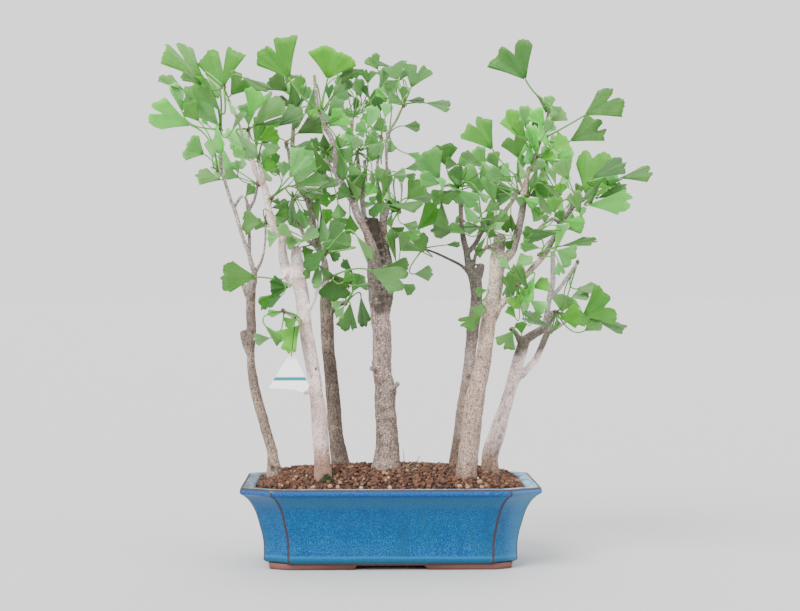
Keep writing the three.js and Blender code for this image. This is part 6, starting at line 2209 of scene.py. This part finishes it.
@dataclass
class Studio:
    """A plain pale floor, soft light and the camera."""

    lens: float = 83.0
    aim: Point = (45, 1845, -22.5)
    floor_tones: tuple[Colour, Colour] = ((0.465, 0.465, 0.465), (0.455, 0.455, 0.455))
    sky: Colour = (1, 1, 1)
    sky_strength: float = 1.55
    # Each broad soft light: where it shines from, its spread in radians, its strength.
    lights: tuple[tuple[Point, float, float], ...] = (
        ((-0.75, -1, 1.15), 0.6, 5.4),
        ((1.3, -0.8, 0.7), 0.9, 1.25),
        ((0.3, 1.2, 1.4), 1, 1.4),
    )

    def camera(self) -> None:
        """Sets the camera at the elevation's eye, looking at the middle of the view."""
        data = bpy.data.cameras.new("camera")
        data.lens = self.lens
        data.clip_start, data.clip_end = 0.05, 100
        camera = shown("camera", data)
        camera.location = metres(np.array(ELEVATION.eye))
        camera.rotation_euler = Vector(self.aim).to_track_quat("-Z", "Y").to_euler()
        bpy.context.scene.camera = camera

    def floor(self) -> None:
        """A broad disc under the pot."""
        turn = turns(96)
        reach = np.array([0.3, 1.0, 4.0, 12.0, 30.0])[:, None] * 1000
        flat = np.stack([np.cos(turn) * reach, np.sin(turn) * reach, np.zeros((5, 96))], axis=-1)[::-1]
        shell = barrel(flat, np.array([0, 0, -1.0]), np.zeros(3))
        shell.tris = shell.tris[96:]
        mesh = fill_mesh("floor", shell)
        floor = shown("floor", mesh)
        r = Recipe("floor")
        pale = r.mix(r.noise(r.place(), 3, 2), *self.floor_tones)
        mesh.materials.append(r.served(Base_Color=pale, Roughness=0.8))

    def light(self) -> None:
        """Sets the soft lights, equally strong everywhere, and the pale sky."""
        for number, (source, spread, strength) in enumerate(self.lights, 1):
            data = bpy.data.lights.new(f"soft_light_{number}", "SUN")
            data.angle, data.energy = spread, strength
            lamp = shown(data.name, data)
            lamp.rotation_euler = Vector(source).to_track_quat("Z", "Y").to_euler()
        world = bpy.data.worlds.new("sky")
        world.use_nodes = True
        sky = world.node_tree.nodes["Background"]
        sky.inputs["Color"].default_value = (*self.sky, 1)
        sky.inputs["Strength"].default_value = self.sky_strength
        bpy.context.scene.world = world


def read_trees() -> list[Tree]:
    """The seven trees, each with its bark."""
    barks = [
        Bark("bark_grey_brown", (0.325, 0.242, 0.192), (0.18, 0.134, 0.105)),
        Bark(
            "bark_rosy_grey", (0.74, 0.565, 0.527), (0.53, 0.382, 0.348), pores=0.35, rough=0.25,
            speckle=0.38, foot_darkening=(1, 0.133),
        ),
        Bark("bark_dark", (0.285, 0.213, 0.173), (0.152, 0.109, 0.087)),
        Bark(
            "bark_rough", (0.325, 0.248, 0.212), (0.155, 0.112, 0.092), pores=0.85, pore_scale=190,
            pore=(0.56, 0.46, 0.38), fork=(0.042, 0.034, 0.026), foot_darkening=(0.8, 0.098),
        ),
        Bark("bark_shade", (0.345, 0.254, 0.206), (0.2, 0.144, 0.12), rough=0.4, foot_darkening=(0.6, 0.136)),
        Bark(
            "bark_speckled", (0.45, 0.326, 0.264), (0.3, 0.214, 0.172), pores=0.65, rough=0.4,
            foot_darkening=(0.8, 0.112),
        ),
        Bark(
            "bark_pale", (0.79, 0.625, 0.597), (0.556, 0.434, 0.41), pores=0.4, rough=0.3, speckle=0.5,
            foot_darkening=(0.95, 0.13),
        ),
    ]
    trees = []
    for bark, (name, rows) in zip(barks, read_table(TREES).items()):
        relief, *cuts = rows["head"]
        bark = replace(bark, wood_and_light_bands=rows["band"])
        cuts = [int(number) for number in cuts]
        trees.append(Tree(name, bark, rows[""], rows["mark"], cuts, relief))
    return trees


def main() -> None:
    """Builds the camera, the thread, the pot, the trees and the leaves, then the studio."""
    logging.basicConfig(level=logging.INFO, format="%(message)s")
    studio = Studio()
    studio.camera()
    Tag().build()
    trees = read_trees()
    Pot().build()
    DrainScreens().build()
    Soil().build([tree.foot() for tree in trees])
    for tree in trees:
        tree.build()
    leaf = Leaf().material()
    for tuft in read_tufts():
        tuft.build(leaf)
    studio.floor()
    studio.light()


if __name__ == "__main__":
    main()
